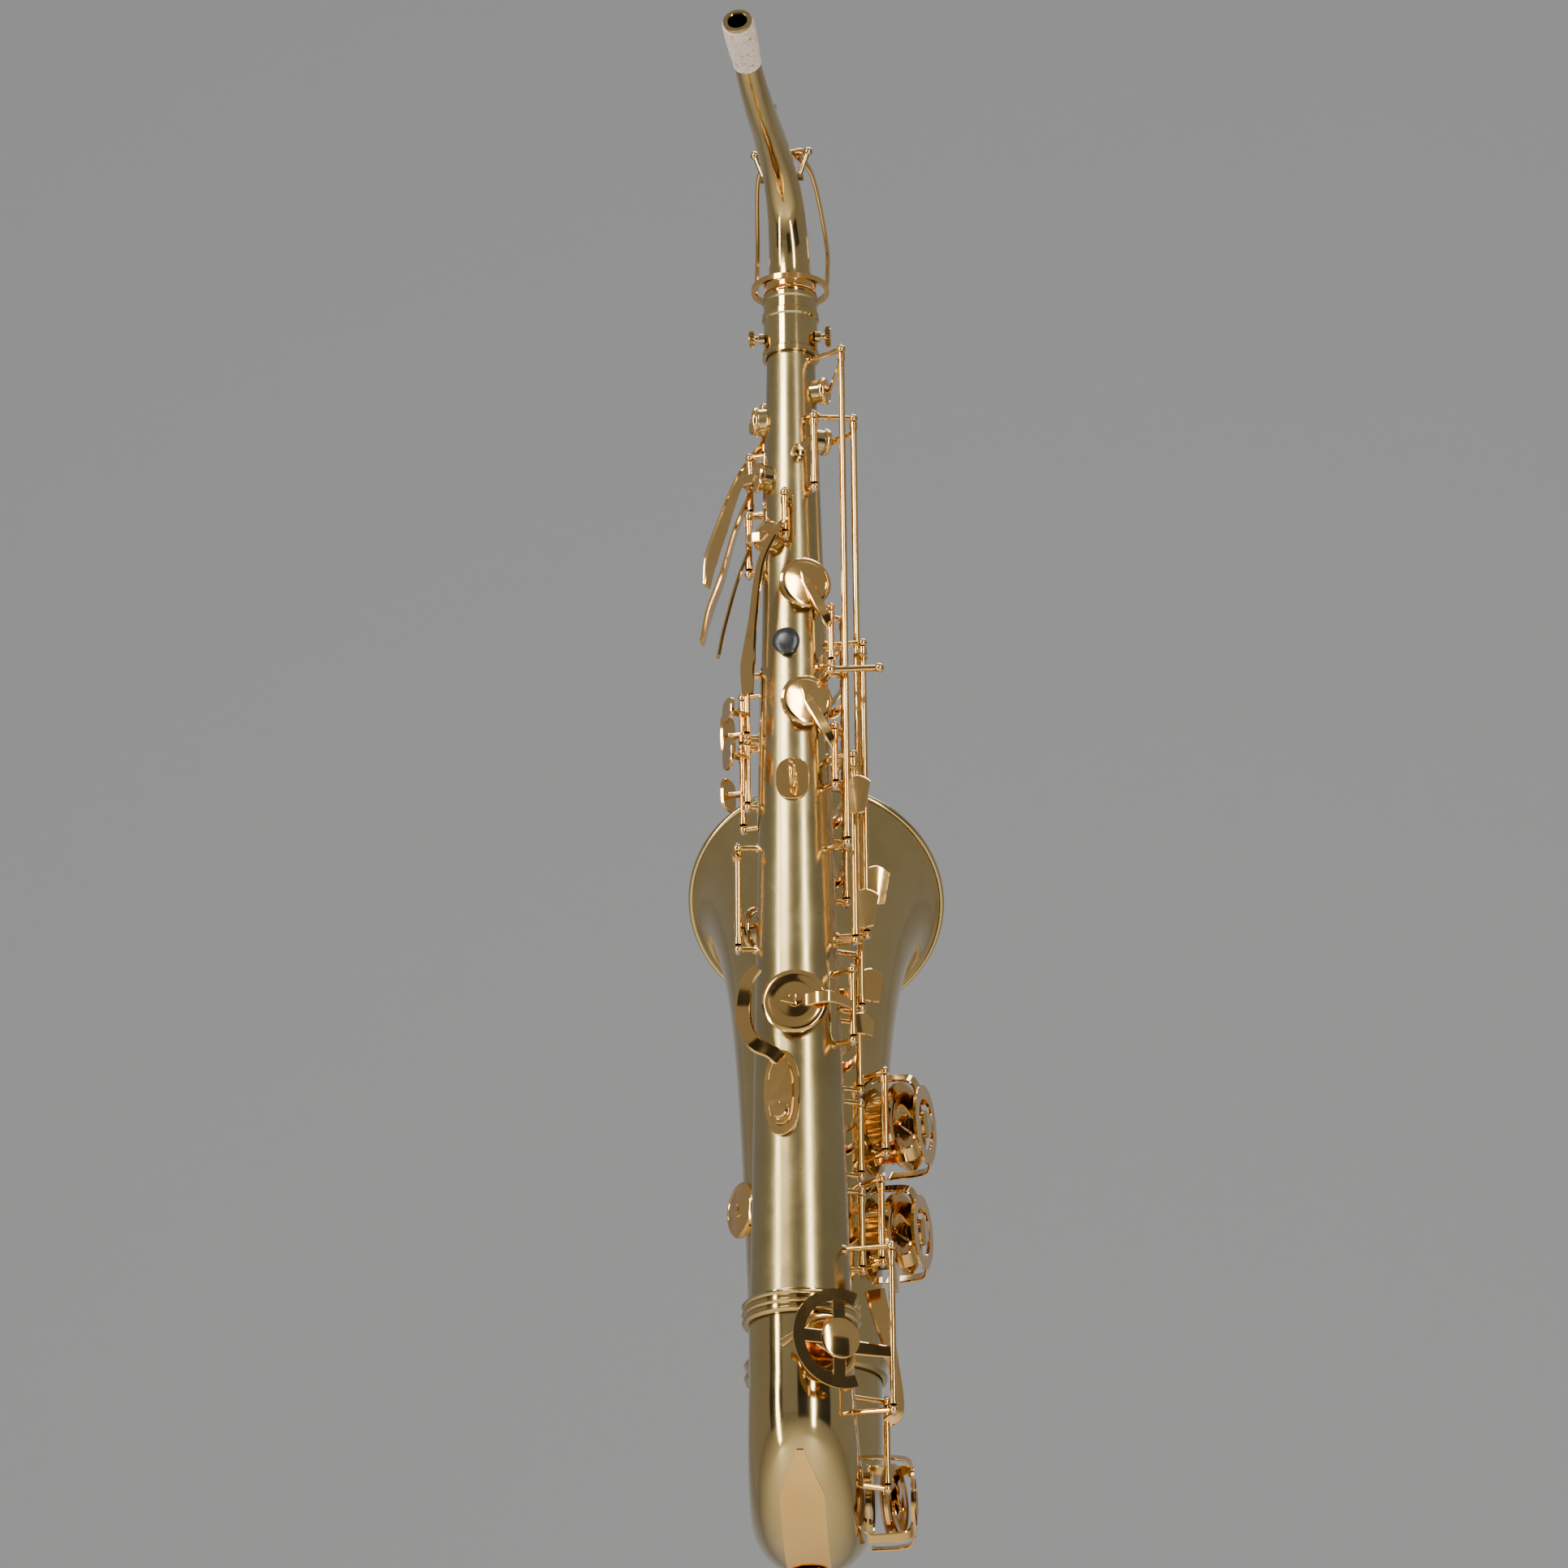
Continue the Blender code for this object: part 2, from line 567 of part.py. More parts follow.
# low C cup on the right flank of the bow, low E flat just under the ferrule
k = Key("low_c_key", vec(47, -28, 44), vec(47, -28, 96), 12.0, 12.0)
n = vec(1, 0, 0)
c = vec(34.6, 3, 44)
k.side = side_of(k, c, n)
k.cup(c, n, 23.0, vec(47, -28, 56), 7.0, via=[vec(49, -14, 52)], h=4.6, pad=True)
k.touch([vec(47, -28, 84), vec(55, -30, 90), vec(54, -37, 116), vec(50, -45, 140), vec(47, -50, 158)], [7, 7, 8, 13, 15], 2.4, unit((0.8, -0.6, 0)))
POSTS["bow"] += post(k.low, vec(27.0, -33, 46)) + post(k.high, vec(24.5, -44, 96))
BOW_TONE.append((c - n * 2.0, n, 17.5))
KEYS["low_c_key"] = k
k = Key("low_eflat_key", vec(54, -76, 78), vec(54, -76, 176), 0, 9)
n = outward(28)
c = vec(0, BODY_Y, 112) + n * 30.6
k.side = side_of(k, c, n)
k.cup(c, n, 19.0, vec(54, -76, 112), 7.0, h=4.6)
k.touch([vec(54, -76, 158), vec(55.5, -70, 160), vec(56, -60, 161), vec(56, -50, 161)], [14, 17, 17, 12], 2.4, unit((1, -0.2, 0)))
POSTS["bow"] += post(k.low, vec(28.6, -65, 80))
POSTS["body_tube"] += post(k.high, around(176, 66, body_r(176) - 0.9))
BOW_TONE.append((c, n, 14.0))
KEYS["low_eflat_key"] = k

COUPLED = {"body_octave_key": ("octave_thumb_lever", 0.7), "neck_octave_key": ("octave_thumb_lever", 0.3),
           "aux_c_key": ("b_key", 1.0), "aux_fsharp_key": ("f_key", 1.0), "gsharp_key": ("gsharp_touch", 1.0),
           "low_csharp_key": ("csharp_touch", 1.0), "low_b_key": ("low_b_touch", 1.25), "low_bflat_key": ("low_bflat_touch", 1.25),
           "side_c_key": ("side_c_lever", 1.0), "side_bflat_key": ("side_bflat_lever", 1.0)}


# ---------------------------------------------------------------- guards
def guard(c, n, r, high, legs, surface, plate_w):
    """Sheet guard over an open cup: a pierced plate with a boss, on legs that stand on the tube."""
    n = unit(n)
    t = unit(np.cross(vec(0, 0, 1), n))
    b = np.cross(n, t)
    top = c + n * high
    plate = [(r * 0.56, -0.9), (r * 0.84, -0.9), (r * 0.84, 0.9), (r * 0.56, 0.9)]
    pieces = [ring_turned(plate, top, n, sides(16, 64)), turned([(7.5, -1.5), (8.5, -0.7), (8.5, 1.4), (7.0, 2.2)], top, n, sides(12, 48))]
    for a in (20, 200):
        d = t * math.cos(math.radians(a)) + b * math.sin(math.radians(a))
        pieces.append(bar([top + d * 5, top + d * r * 0.7], [plate_w, plate_w], 1.4, n))
    for a in legs:
        d = t * math.cos(math.radians(a)) + b * math.sin(math.radians(a))
        foot = surface(c + d * (r + 2.5), n)
        pts = smooth_path([foot, foot + n * 4 + d * 0.5, c + d * (r + 1.5) + n * (high - 4.5), top + d * r * 0.74 + n * 0.05], sides(1, 8))
        pieces.append(bar(pts, spread([plate_w * 1.1, plate_w * 0.8, plate_w * 0.9, plate_w * 1.1], 4, sides(1, 8)), 1.5, n + d * 0.8))
    return pieces


def on_bell_surface(p, n):
    """The point above p, along n, just clear of the bell's flank."""
    h = vec(n[0], n[1], 0)
    side = vec(-h[1], h[0], 0)
    off = np.dot(p - vec(0, bell_y(p[2]), 0), side)
    r = bell_r(p[2]) + 1.5
    return vec(0, bell_y(p[2]), p[2]) + side * off + h * (math.sqrt(r * r - max(abs(off) - 3.0, 0) ** 2) + 0.4)


def on_bow_surface(p, n):
    """The point beside p, just clear of the bow's right flank."""
    d = math.hypot(p[1], p[2] - BOW_Z)
    a = math.atan2(BOW_Z - p[2], -p[1])
    r = R_BOW_BODY + (R_BOW_BELL - R_BOW_BODY) * a / math.pi + 1.0
    off = max(abs(d - BOW_R) - 5.0, 0)
    return vec(math.sqrt(r * r - off * off) + 0.9, p[1], p[2])


def neck_tube_meshes():
    line = [vec(0, BODY_Y, 773.0), vec(0, BODY_Y, 790.2)] + neck_line(sides(1, 10))
    radii = [12.7, 12.7] + neck_radii(neck_line(sides(1, 10)), 13.9, 6.9)
    tube = pipe(line, radii, [r - 1.0 for r in radii], sides(14, 64))
    f, s = neck_dir()
    out = [tube]
    for x in (-1, 1):
        out += post(neck_pt(30, 876, x * 16.6), neck_pt(30, 853.5, 0) + unit(s * x * 11.0 + vec(0, 0, 5.0)) * 11.6)
    end = neck_line(2)[-1]
    back = neck_line(2)[-2]
    d = unit(end - back)
    out.append(ring_turned([(6.3, -1.2), (8.6, -1.2), (8.8, -0.4), (8.6, 0.6), (6.3, 0.6)], end + d * 0.2, d, sides(16, 64)))
    return out, end, d


def cork_mesh():
    pts = neck_line(sides(1, 10))
    end = pts[-1]
    d = unit(end - neck_line(2)[-2])
    line = [end - d * 1.9]
    back = list(reversed(pts))
    dist = [np.linalg.norm(p - end) for p in back]
    line += [p for p, q in zip(back, dist) if 6 < q < 40]
    m = len(line)
    outer = [9.6 - 1.4 * (i / (m - 1)) ** 3 for i in range(m)]
    inner = []
    full = neck_radii(pts, 13.9, 6.9)
    for i, p in enumerate(line):
        j = int(np.argmin([np.linalg.norm(p - q) for q in pts]))
        inner.append(full[max(j - 1, 0)] + 0.45)
    return pipe(line, outer, inner, sides(16, 64))


def guard_list():
    out = []
    for nm, key, high, legs, w in (("low_bflat_guard", "low_bflat_key", 25.5, (50, 128, 232, 310), 11), ("low_b_guard", "low_b_key", 25.5, (50, 128, 232, 310), 11)):
        k = KEYS[key]
        c, n = k.cup_at, outward(78)
        out.append((nm, guard(c, n, k.pads[0][2] + 1.5, high, legs, on_bell_surface, w), c, n, high))
    return out


def STATIC():
    rows = []
    fine = [(17.6, 753.5), (16.6, 754.5), (16.6, 774.5), (17.6, 775.5), (17.6, 779), (16.6, 780), (16.6, 786.5), (17.4, 787.5)] if FINE else [(16.8, 756), (16.8, 786)]
    rows.append(("neck_receiver", [ring_turned([(15.3, 750), (17.6, 750)] + fine + [(17.4, 790), (13.1, 790), (13.1, 770.4), (15.3, 770.4)], vec(0, BODY_Y, 0), (0, 0, 1), sides(16, 96)),
                                   cyl(vec(15.5, BODY_Y - 6, 762), vec(19.0, BODY_Y - 6, 762), 3.4, sides(8, 32)),
                                   cyl(vec(-15.5, BODY_Y - 6, 762), vec(-19.0, BODY_Y - 6, 762), 3.2, sides(8, 32))], "lacquer"))
    rr = R_BODY_LOW + (GAP if FINE else 0.9)
    prof = [(rr, 134.0), (33.0, 134.0)]
    for z in (135.5, 140.5, 145.5):
        prof += [(33.0, z - 1.4), (34.6, z)] if not FINE else [(33.0, z - 1.6), (34.1, z - 1.1), (34.7, z), (34.1, z + 1.1), (33.0, z + 1.6)]
    prof += [(33.0, 147.6), (31.5, 148.4), (rr, 148.4)]
    rows.append(("body_ferrule", [ring_turned(prof, vec(0, BODY_Y, 0), (0, 0, 1), sides(20, 96))], "lacquer"))
    rb = 39.5 + 0.5
    prof = [(rb, 134.4), (42.2, 134.4), (43.2, 136.5), (42.2, 138.5), (42.2, 142.5), (43.2, 144.5), (42.2, 146.5), (rb + 0.4, 147.6)] if FINE else [(rb + 0.4, 134.4), (43.0, 134.4), (42.6, 147), (rb + 0.6, 147)]
    rows.append(("bell_ferrule", [ring_turned(prof, vec(0, BELL_Y, 0), (0, 0, 1), sides(24, 96))], "lacquer"))
    # guard strip under the bow, with its flat rest
    pts, ups = [], []
    k = sides(12, 48)
    for i in range(k + 1):
        a = math.radians(28 + 124 * i / k)
        r = BOW_R + R_BOW_BODY + (R_BOW_BELL - R_BOW_BODY) * a / math.pi + 1.35
        pts.append(vec(0, -r * math.cos(a), BOW_Z - r * math.sin(a)))
    ws = [max(3.0, 26 * min(1, 0.16 + i / (k * 0.16), 0.16 + (k - i) / (k * 0.16))) for i in range(k + 1)]
    strip = strip_along(pts, ws, 1.4, vec(0, 0, BOW_Z))
    rows.append(("bow_guard", [strip, slab(squircle(12, 16, sides(16, 48)), vec(0, 0, 0.85), (1, 0, 0), (0, 1, 0), 1.7)], "keywork"))
    # brace between body and bell: a ring with a short stem to each tube
    z = 386.0
    ya, yb = BODY_Y + body_r(z) + GAP + 0.1, 22.6
    mid = vec(0, (ya + yb) / 2, z)
    rows.append(("bell_brace", [ring_turned([(13.2, -2.0), (17.0, -2.0), (17.0, 2.0), (13.2, 2.0)], mid, (1, 0, 0), sides(18, 64)),
                                cyl(vec(0, ya + 1.6, z), mid - vec(0, 15, 0), 2.6, sides(8, 24)), cyl(mid + vec(0, 15, 0), vec(0, yb - 2.0, z), 2.6, sides(8, 24)),
                                cyl(vec(0, ya, z), vec(0, ya + 2.2, z), 6.0, sides(12, 40)), cyl(vec(0, yb - 3.4, z + 0.4), vec(0, yb - 1.2, z + 0.4), 6.0, sides(12, 40))], "keywork"))
    z = 466.0
    y = BODY_Y - body_r(z) - GAP - 0.9
    rows.append(("strap_ring", [slab(squircle(10, 13, sides(14, 48), 2.6), vec(0, y, z), (1, 0, 0), (0, 0, 1), 1.5),
                                ring_turned([(5.2, -1.6), (8.6, -1.6), (8.6, 1.6), (5.2, 1.6)] if not FINE else [(6.9 + 1.75 * math.cos(a * math.pi / 8), 1.75 * math.sin(a * math.pi / 8)) for a in range(16)],
                                            vec(0, y - 7.6, z), (1, 0, 0), sides(16, 64))], "keywork"))
    # thumb hook on its oval base
    z = 268.0
    n = outward(-16)
    t = vec(-n[1], n[0], 0)
    base = vec(0, BODY_Y, z) + n * (body_r(262) + 1.9)
    hook = [base + n * 1.5 + vec(0, 0, 20), around(293, -26, 33), around(297, -36, 39), around(307, -42, 42.5), around(321, -44, 43), around(335, -40, 42.5), around(343, -30, 41.5)]
    hk = KEYS["fsharp_trill_key"]
    rows.append(("thumb_hook", [slab(squircle(11, 26, sides(16, 64), 2.3), base, t, vec(0, 0, 1), 1.8),
                                slab(squircle(7.5, 20, sides(14, 48), 2.6), base + n * 1.7, t, vec(0, 0, 1), 2.6),
                                turned([(4.6, 0), (5.0, 0.6), (5.0, 2.4), (4.0, 3.2)], base + n * 2.4 - vec(0, 0, 12), n, sides(10, 40)),
                                bar(smooth_path(hook, sides(2, 8)), spread([9, 9, 9, 9, 9, 8, 6], 7, sides(2, 8)), 2.6, vec(0.0, 0.0, 0.0) + unit(n + vec(0.3, 0, 0)))], "keywork"))
    z = 555.0
    n = outward(-8)
    rows.append(("left_thumb_rest", [turned([(7.5, 0), (8.2, 0.8), (8.2, 3.6), (6.5, 5.0), (3.0, 5.6)], around(z, -8, body_r(z) + GAP + 0.2), n, sides(12, 48))], "resin"))
    for nm, pieces, c, n, high in guard_list():
        rows.append((nm, pieces, "keywork"))
        rows.append((nm.replace("_guard", "_felt"), [turned([(5.6, 0), (6.0, 0.4), (6.0, 3.2), (5.6, 3.6)], c + n * (high - 1.6 - 3.9), n, sides(10, 40))], "felt"))
    # low C guard on the bow, and the half-moon guard round the low E flat cup
    rows.append(("low_c_guard", guard(vec(34.6, 3, 44), vec(1, 0, 0), 24.5, 26.0, (60, 118, 242, 300), on_bow_surface, 9), "keywork"))
    rows.append(("low_eflat_guard", moon_guard(), "keywork"))
    z = 532.0
    foot = around(z, 58, body_r(z) + 1.5)
    rows.append(("side_rod_bracket", [cyl(foot, vec(24, -90, z), 2.2, sides(8, 24)), ball(vec(24, -90, z), 3.2), cyl(vec(24, -90, z), vec(53, -90, z), 1.9, sides(8, 24)), ball(vec(53, -90, z), 3.0)], "keywork"))
    return rows


def strip_along(pts, widths, thick, centre):
    rings = []
    for i, (p, w) in enumerate(zip(pts, widths)):
        v = unit(centre * vec(0, 1, 1) - p)
        u = vec(1, 0, 0)
        rings.append(np.array([p + u * a + v * b for a, b in ((w / 2, thick / 2), (-w / 2, thick / 2), (-w / 2, -thick / 2), (w / 2, -thick / 2))]))
    return skin(rings)


def moon_guard():
    """Half-moon sheet guard over the low E flat cup, with a round boss and two windows."""
    n = outward(28)
    t = unit(np.cross(vec(0, 0, 1), n))
    c = vec(0, BODY_Y, 112) + n * (30.6 + 24.0)
    b = vec(0, 0, 1)
    out = [turned([(11.5, -0.9), (12.0, -0.3), (12.0, 0.8), (11.0, 1.4)], c, n, sides(16, 64))]
    arc = []
    m = sides(8, 40)
    for i in range(m + 1):
        a = math.radians(68 + 224 * i / m)
        arc.append(c + (t * math.cos(a) + b * math.sin(a)) * 26.0)
    out.append(flat_loop(arc, n, 7.0, 1.5))
    for a in (92, 180, 268):
        d = t * math.cos(math.radians(a)) + b * math.sin(math.radians(a))
        out.append(bar([c + d * 9, c + d * 26], [8, 8], 1.2, n))
    for a in (72, 180, 288):
        d = t * math.cos(math.radians(a)) + b * math.sin(math.radians(a))
        top = c + d * 27.0
        out.append(cyl(top + n * 0.4, top - n * (11.5 + (8.0 if a == 180 else -0.5)), 2.2, sides(8, 24)))
    return out


def flat_loop(pts, n, width, thick):
    rings = []
    m = len(pts)
    for i, p in enumerate(pts):
        t = unit(pts[min(i + 1, m - 1)] - pts[max(i - 1, 0)])
        u = np.cross(t, n)
        rings.append(np.array([p + u * a + n * b for a, b in ((width / 2, thick / 2), (-width / 2, thick / 2), (-width / 2, -thick / 2), (width / 2, -thick / 2))]))
    return skin(rings)


def screw_mesh(x):
    """Thumb screw whose head turns about X, outside the receiver's lug."""
    s = 1 if x > 0 else -1
    c = vec(s * 19.4, BODY_Y - 6, 762)
    r = 6.5 if s > 0 else 5.2
    return [turned([(1.8, 0), (1.8, 2.2), (r * 0.92, 2.2), (r, 2.8), (r, 5.4), (r * 0.92, 6.0)], c, (s, 0, 0), sides(12, 48))]


# ---------------------------------------------------------------- building solids
for old in list(bpy.data.objects):
    bpy.data.objects.remove(old, do_unlink=True)

COLOURS = {"lacquer": ((0.62, 0.47, 0.20), 0.28, 1.0), "keywork": ((0.78, 0.50, 0.17), 0.2, 1.0), "cork": ((0.72, 0.60, 0.46), 0.85, 0.0),
           "felt": ((0.03, 0.03, 0.03), 0.95, 0.0), "pad": ((0.36, 0.21, 0.11), 0.6, 0.0), "resin": ((0.02, 0.02, 0.02), 0.3, 0.0)}
MATS = {}
for slot, (colour, rough, metal) in COLOURS.items():
    mat = bpy.data.materials.new(slot)
    mat.use_nodes = True
    bsdf = mat.node_tree.nodes["Principled BSDF"]
    bsdf.inputs["Base Color"].default_value = (*colour, 1.0)
    bsdf.inputs["Roughness"].default_value = rough
    bsdf.inputs["Metallic"].default_value = metal
    MATS[slot] = mat


def mesh_object(name, mesh, origin=None):
    verts, faces = mesh
    o = vec(0, 0, 0) if origin is None else np.asarray(origin, float)
    data = bpy.data.meshes.new(name)
    data.from_pydata([tuple((p - o) * MM) for p in verts], [], [tuple(f) for f in faces])
    data.update()
    obj = bpy.data.objects.new(name, data)
    obj.location = o * MM
    bpy.context.scene.collection.objects.link(obj)
    return obj


def solid(name, adds, cuts=(), slot="keywork", origin=None):
    """One closed body: the pieces joined by Boolean unions, then the cutters taken away."""
    base = mesh_object(name, adds[0], origin)
    helpers = []
    for kind, group in (("UNION", adds[1:]), ("DIFFERENCE", cuts)):
        for i, mesh in enumerate(group):
            helper = mesh_object(f"{name}_{kind.lower()}_{i}", mesh)
            helper.hide_render = True
            helper.display_type = "WIRE"
            helpers.append(helper)
            mod = base.modifiers.new(helper.name, "BOOLEAN")
            mod.operation = kind
            mod.solver = "EXACT"
            mod.object = helper
    if helpers:
        bpy.context.view_layer.update()
        done = bpy.data.meshes.new_from_object(base.evaluated_get(bpy.context.evaluated_depsgraph_get()))
        base.modifiers.clear()
        base.data = done
        for helper in helpers:
            bpy.data.objects.remove(helper, do_unlink=True)
    base.data.materials.clear()
    base.data.materials.append(MATS[slot])
    base.data.shade_smooth()
    base.data.set_sharp_from_angle(angle=math.radians(35))
    return base


# keys, each with its object's origin on its hinge line
for name, key in KEYS.items():
    solid(name, [key.posed(p) for p in key.pieces], (), "keywork", key.low)
    if key.pad is not None:
        solid(name.replace("_key", "_pad"), [key.posed(key.pad)], (), "pad", key.low)

def sunk(r, tube):
    """How far a chimney's foot must reach in, for its edge to meet the round tube."""
    return tube - math.sqrt(tube * tube - r * r) + 0.8


# body tube: a cone with chimneys and posts, bored through, with a tone hole down each chimney
tube_top = body_r(Z_TOP)
cone = loft([vec(0, BODY_Y, Z_JOIN), vec(0, BODY_Y, Z_TOP)], [R_BODY_LOW, tube_top], 22)
bore = loft([vec(0, BODY_Y, Z_JOIN - 20), vec(0, BODY_Y, Z_TOP + 20)],
            [body_r(Z_JOIN - 20) - WALL, body_r(Z_TOP + 20) - WALL], 22)
body_adds = [cone] + [chimney(c, n, r + 1.0, sunk(r + 1.0, body_r(c[2]))) for c, n, r in TONE] + POSTS["body_tube"]
solid("body_tube", body_adds, [bore] + [chimney_hole(c, n, r, 8) for c, n, r in TONE], "lacquer")
solid("bow", [bow_mesh()] + [chimney(c, n, r + 1.2, sunk(r + 1.2, 31.0)) for c, n, r in BOW_TONE] + POSTS["bow"],
      [chimney_hole(c, n, r, 8) for c, n, r in BOW_TONE], "lacquer")
solid("bell", [bell_mesh()] + [chimney(c, n, r + 1.2, sunk(r + 1.2, 41.0)) for c, n, r in BELL_TONE] + POSTS["bell"],
      [chimney_hole(c, n, r, 8) for c, n, r in BELL_TONE], "lacquer")
solid("bell_rim", [rim_mesh()], (), "lacquer")
for name, mesh, slot in STATIC():
    solid(name, mesh, (), slot)
neck_parts, neck_end, neck_out = neck_tube_meshes()
solid("neck_tube", neck_parts, (), "lacquer", vec(0, BODY_Y, 790))
solid("neck_cork", [cork_mesh()], (), "cork", vec(0, BODY_Y, 790))
solid("neck_collar", [ring_turned([(14.6, 790.5), (16.4, 790.5), (16.4, 794), (15.4, 795), (15.4, 799), (16.2, 800), (16.0, 802), (14.9, 802)], vec(0, BODY_Y, 0), (0, 0, 1), sides(20, 96))], (), "keywork", vec(0, BODY_Y, 790))
solid("neck_clamp_screw", screw_mesh(1), (), "keywork", vec(19.4, BODY_Y - 6, 762))
solid("lyre_screw", screw_mesh(-1), (), "keywork", vec(-19.4, BODY_Y - 6, 762))
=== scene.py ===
"""Looks of the tenor saxophone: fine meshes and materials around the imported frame."""
import math

import bmesh
import bpy
import mathutils
import numpy as np
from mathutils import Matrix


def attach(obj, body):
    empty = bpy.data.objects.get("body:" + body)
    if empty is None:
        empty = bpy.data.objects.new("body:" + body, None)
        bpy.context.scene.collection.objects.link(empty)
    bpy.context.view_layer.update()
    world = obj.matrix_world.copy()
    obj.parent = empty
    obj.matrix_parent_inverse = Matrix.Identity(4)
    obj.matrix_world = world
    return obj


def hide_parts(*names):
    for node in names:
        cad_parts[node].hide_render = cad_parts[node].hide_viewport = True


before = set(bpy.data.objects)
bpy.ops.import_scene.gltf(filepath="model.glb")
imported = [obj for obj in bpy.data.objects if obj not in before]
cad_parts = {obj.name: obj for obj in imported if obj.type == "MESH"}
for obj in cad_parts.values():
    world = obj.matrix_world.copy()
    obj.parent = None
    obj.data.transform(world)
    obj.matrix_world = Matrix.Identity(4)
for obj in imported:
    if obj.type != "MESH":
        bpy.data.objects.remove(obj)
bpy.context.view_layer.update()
FINE = True
MM = 0.001

# ---------------------------------------------------------------- sizes (mm)
BODY_Y = -60.0          # body tube axis
BELL_Y = 60.0           # bell axis beside the body
Z_JOIN = 134.0          # where the bow ends and body tube and bell begin
Z_TOP = 770.0           # top of the body tube
Z_RECEIVER = 790.0      # top of the neck receiver
R_BODY_LOW, R_BODY_TOP = 30.0, 14.3
BOW_Z, BOW_R = 98.0, 60.0
R_BOW_BODY, R_BOW_BELL = 30.6, 39.4
WALL = 1.2
GAP = 0.3
RIM_R = 78.0
CHIMNEY = 4.0           # tone hole chimney height above the tube
BELL_STATIONS = ((134, 60, 0, 39.5), (180, 60, 0, 40.3), (230, 60.5, 2, 41.8), (285, 62, 6, 44.0),
                 (335, 66, 12, 47.0), (378, 73, 20, 51.5), (411, 83, 29, 57.5), (436, 95, 37.5, 65.0),
                 (450, 104, 43, 71.8), (456, 107.5, 46, 76.6))
NECK_SWING = math.radians(4.6)


def vec(*a):
    return np.array(a, float)


def unit(a):
    a = np.asarray(a, float)
    return a / np.linalg.norm(a)


def bell_r(z):
    """Radius of the bell at a height, on the straight lower part."""
    for (z0, _, _, r0), (z1, _, _, r1) in zip(BELL_STATIONS, BELL_STATIONS[1:]):
        if z <= z1:
            return r0 + (r1 - r0) * (z - z0) / (z1 - z0)


def bell_y(z):
    for (z0, y0, _, _), (z1, y1, _, _) in zip(BELL_STATIONS, BELL_STATIONS[1:]):
        if z <= z1:
            return y0 + (y1 - y0) * (z - z0) / (z1 - z0)


def body_r(z):
    return R_BODY_LOW + (z - Z_JOIN) * (R_BODY_TOP - R_BODY_LOW) / (Z_TOP - Z_JOIN)


def around(z, phi, r):
    """A point at radius r about the body axis; phi 0 faces -Y and grows towards +X."""
    a = math.radians(phi)
    return vec(r * math.sin(a), BODY_Y - r * math.cos(a), z)


def outward(phi):
    a = math.radians(phi)
    return vec(math.sin(a), -math.cos(a), 0)


def frames(points, up=None, tangents=None):
    points = [np.asarray(p, float) for p in points]
    n = len(points)
    if tangents is None:
        tangents = []
        for i in range(n):
            a = points[max(i - 1, 0)]
            b = points[min(i + 1, n - 1)]
            tangents.append(unit(b - a))
    out = []
    u = None
    for t in tangents:
        t = unit(t)
        if up is not None:
            u = np.cross(up, t)
            if np.linalg.norm(u) < 1e-6:
                u = np.cross(vec(0.3, 0.7, 0.2), t)
        elif u is None:
            u = np.cross(vec(1, 0, 0) if abs(t[0]) < 0.9 else vec(0, 1, 0), t)
        else:
            u = u - t * np.dot(u, t)
        u = unit(u)
        out.append((t, u, np.cross(t, u)))
    return out


def ring(c, u, v, r, n):
    a = np.arange(n) * 2 * math.pi / n
    return c + r * (np.outer(np.cos(a), u) + np.outer(np.sin(a), v))


def skin(rings, wrap=False):
    """Joins rings of equal count; closes with end caps, or round on itself when wrap."""
    n = len(rings[0])
    m = len(rings)
    verts = np.concatenate(rings)
    faces = []
    for i in range(m if wrap else m - 1):
        j = (i + 1) % m
        for k in range(n):
            l = (k + 1) % n
            faces.append((i * n + k, i * n + l, j * n + l, j * n + k))
    if not wrap:
        faces.append(tuple(range(n - 1, -1, -1)))
        faces.append(tuple((m - 1) * n + k for k in range(n)))
    return fix(verts, faces)


def fix(verts, faces):
    """Turns the faces outwards, by the signed volume."""
    vol = 0.0
    for f in faces:
        a = verts[f[0]]
        for i in range(1, len(f) - 1):
            vol += np.dot(a, np.cross(verts[f[i]], verts[f[i + 1]]))
    if vol < 0:
        faces = [tuple(reversed(f)) for f in faces]
    return verts, faces


def sides(lo, hi):
    return hi if FINE else lo


def loft(points, radii, n=12, tangents=None):
    fr = frames(points, tangents=tangents)
    return skin([ring(np.asarray(p, float), f[1], f[2], r, n) for p, f, r in zip(points, fr, radii)])


def pipe(points, outer, inner, n=16, tangents=None):
    fr = frames(points, tangents=tangents)
    out = [ring(np.asarray(p, float), f[1], f[2], r, n) for p, f, r in zip(points, fr, outer)]
    inn = [ring(np.asarray(p, float), f[1], f[2], r, n) for p, f, r in zip(points, fr, inner)]
    return skin(out + inn[::-1], wrap=True)


def cyl(a, b, r, n=8, r1=None):
    return loft([a, b], [r, r if r1 is None else r1], n)


def turned(profile, c, axis, n=16):
    """profile is (radius, height) pairs from one end to the other, solid."""
    axis = unit(axis)
    c = np.asarray(c, float)
    f = frames([c, c + axis])[0]
    return skin([ring(c + axis * h, f[1], f[2], max(r, 0.05), n) for r, h in profile])


def ring_turned(profile, c, axis, n=16):
    """A closed profile of (radius, height) pairs turned into a ring."""
    axis = unit(axis)
    c = np.asarray(c, float)
    f = frames([c, c + axis])[0]
    return skin([ring(c + axis * h, f[1], f[2], r, n) for r, h in profile], wrap=True)


def ball(c, r, n=8):
    k = sides(3, 10)
    prof = []
    for i in range(k + 1):
        a = -math.pi / 2 + math.pi * i / k
        prof.append((max(r * math.cos(a), r * 0.12), r * math.sin(a)))
    return turned(prof, c, (0.1, 0.2, 1), sides(6, 20))


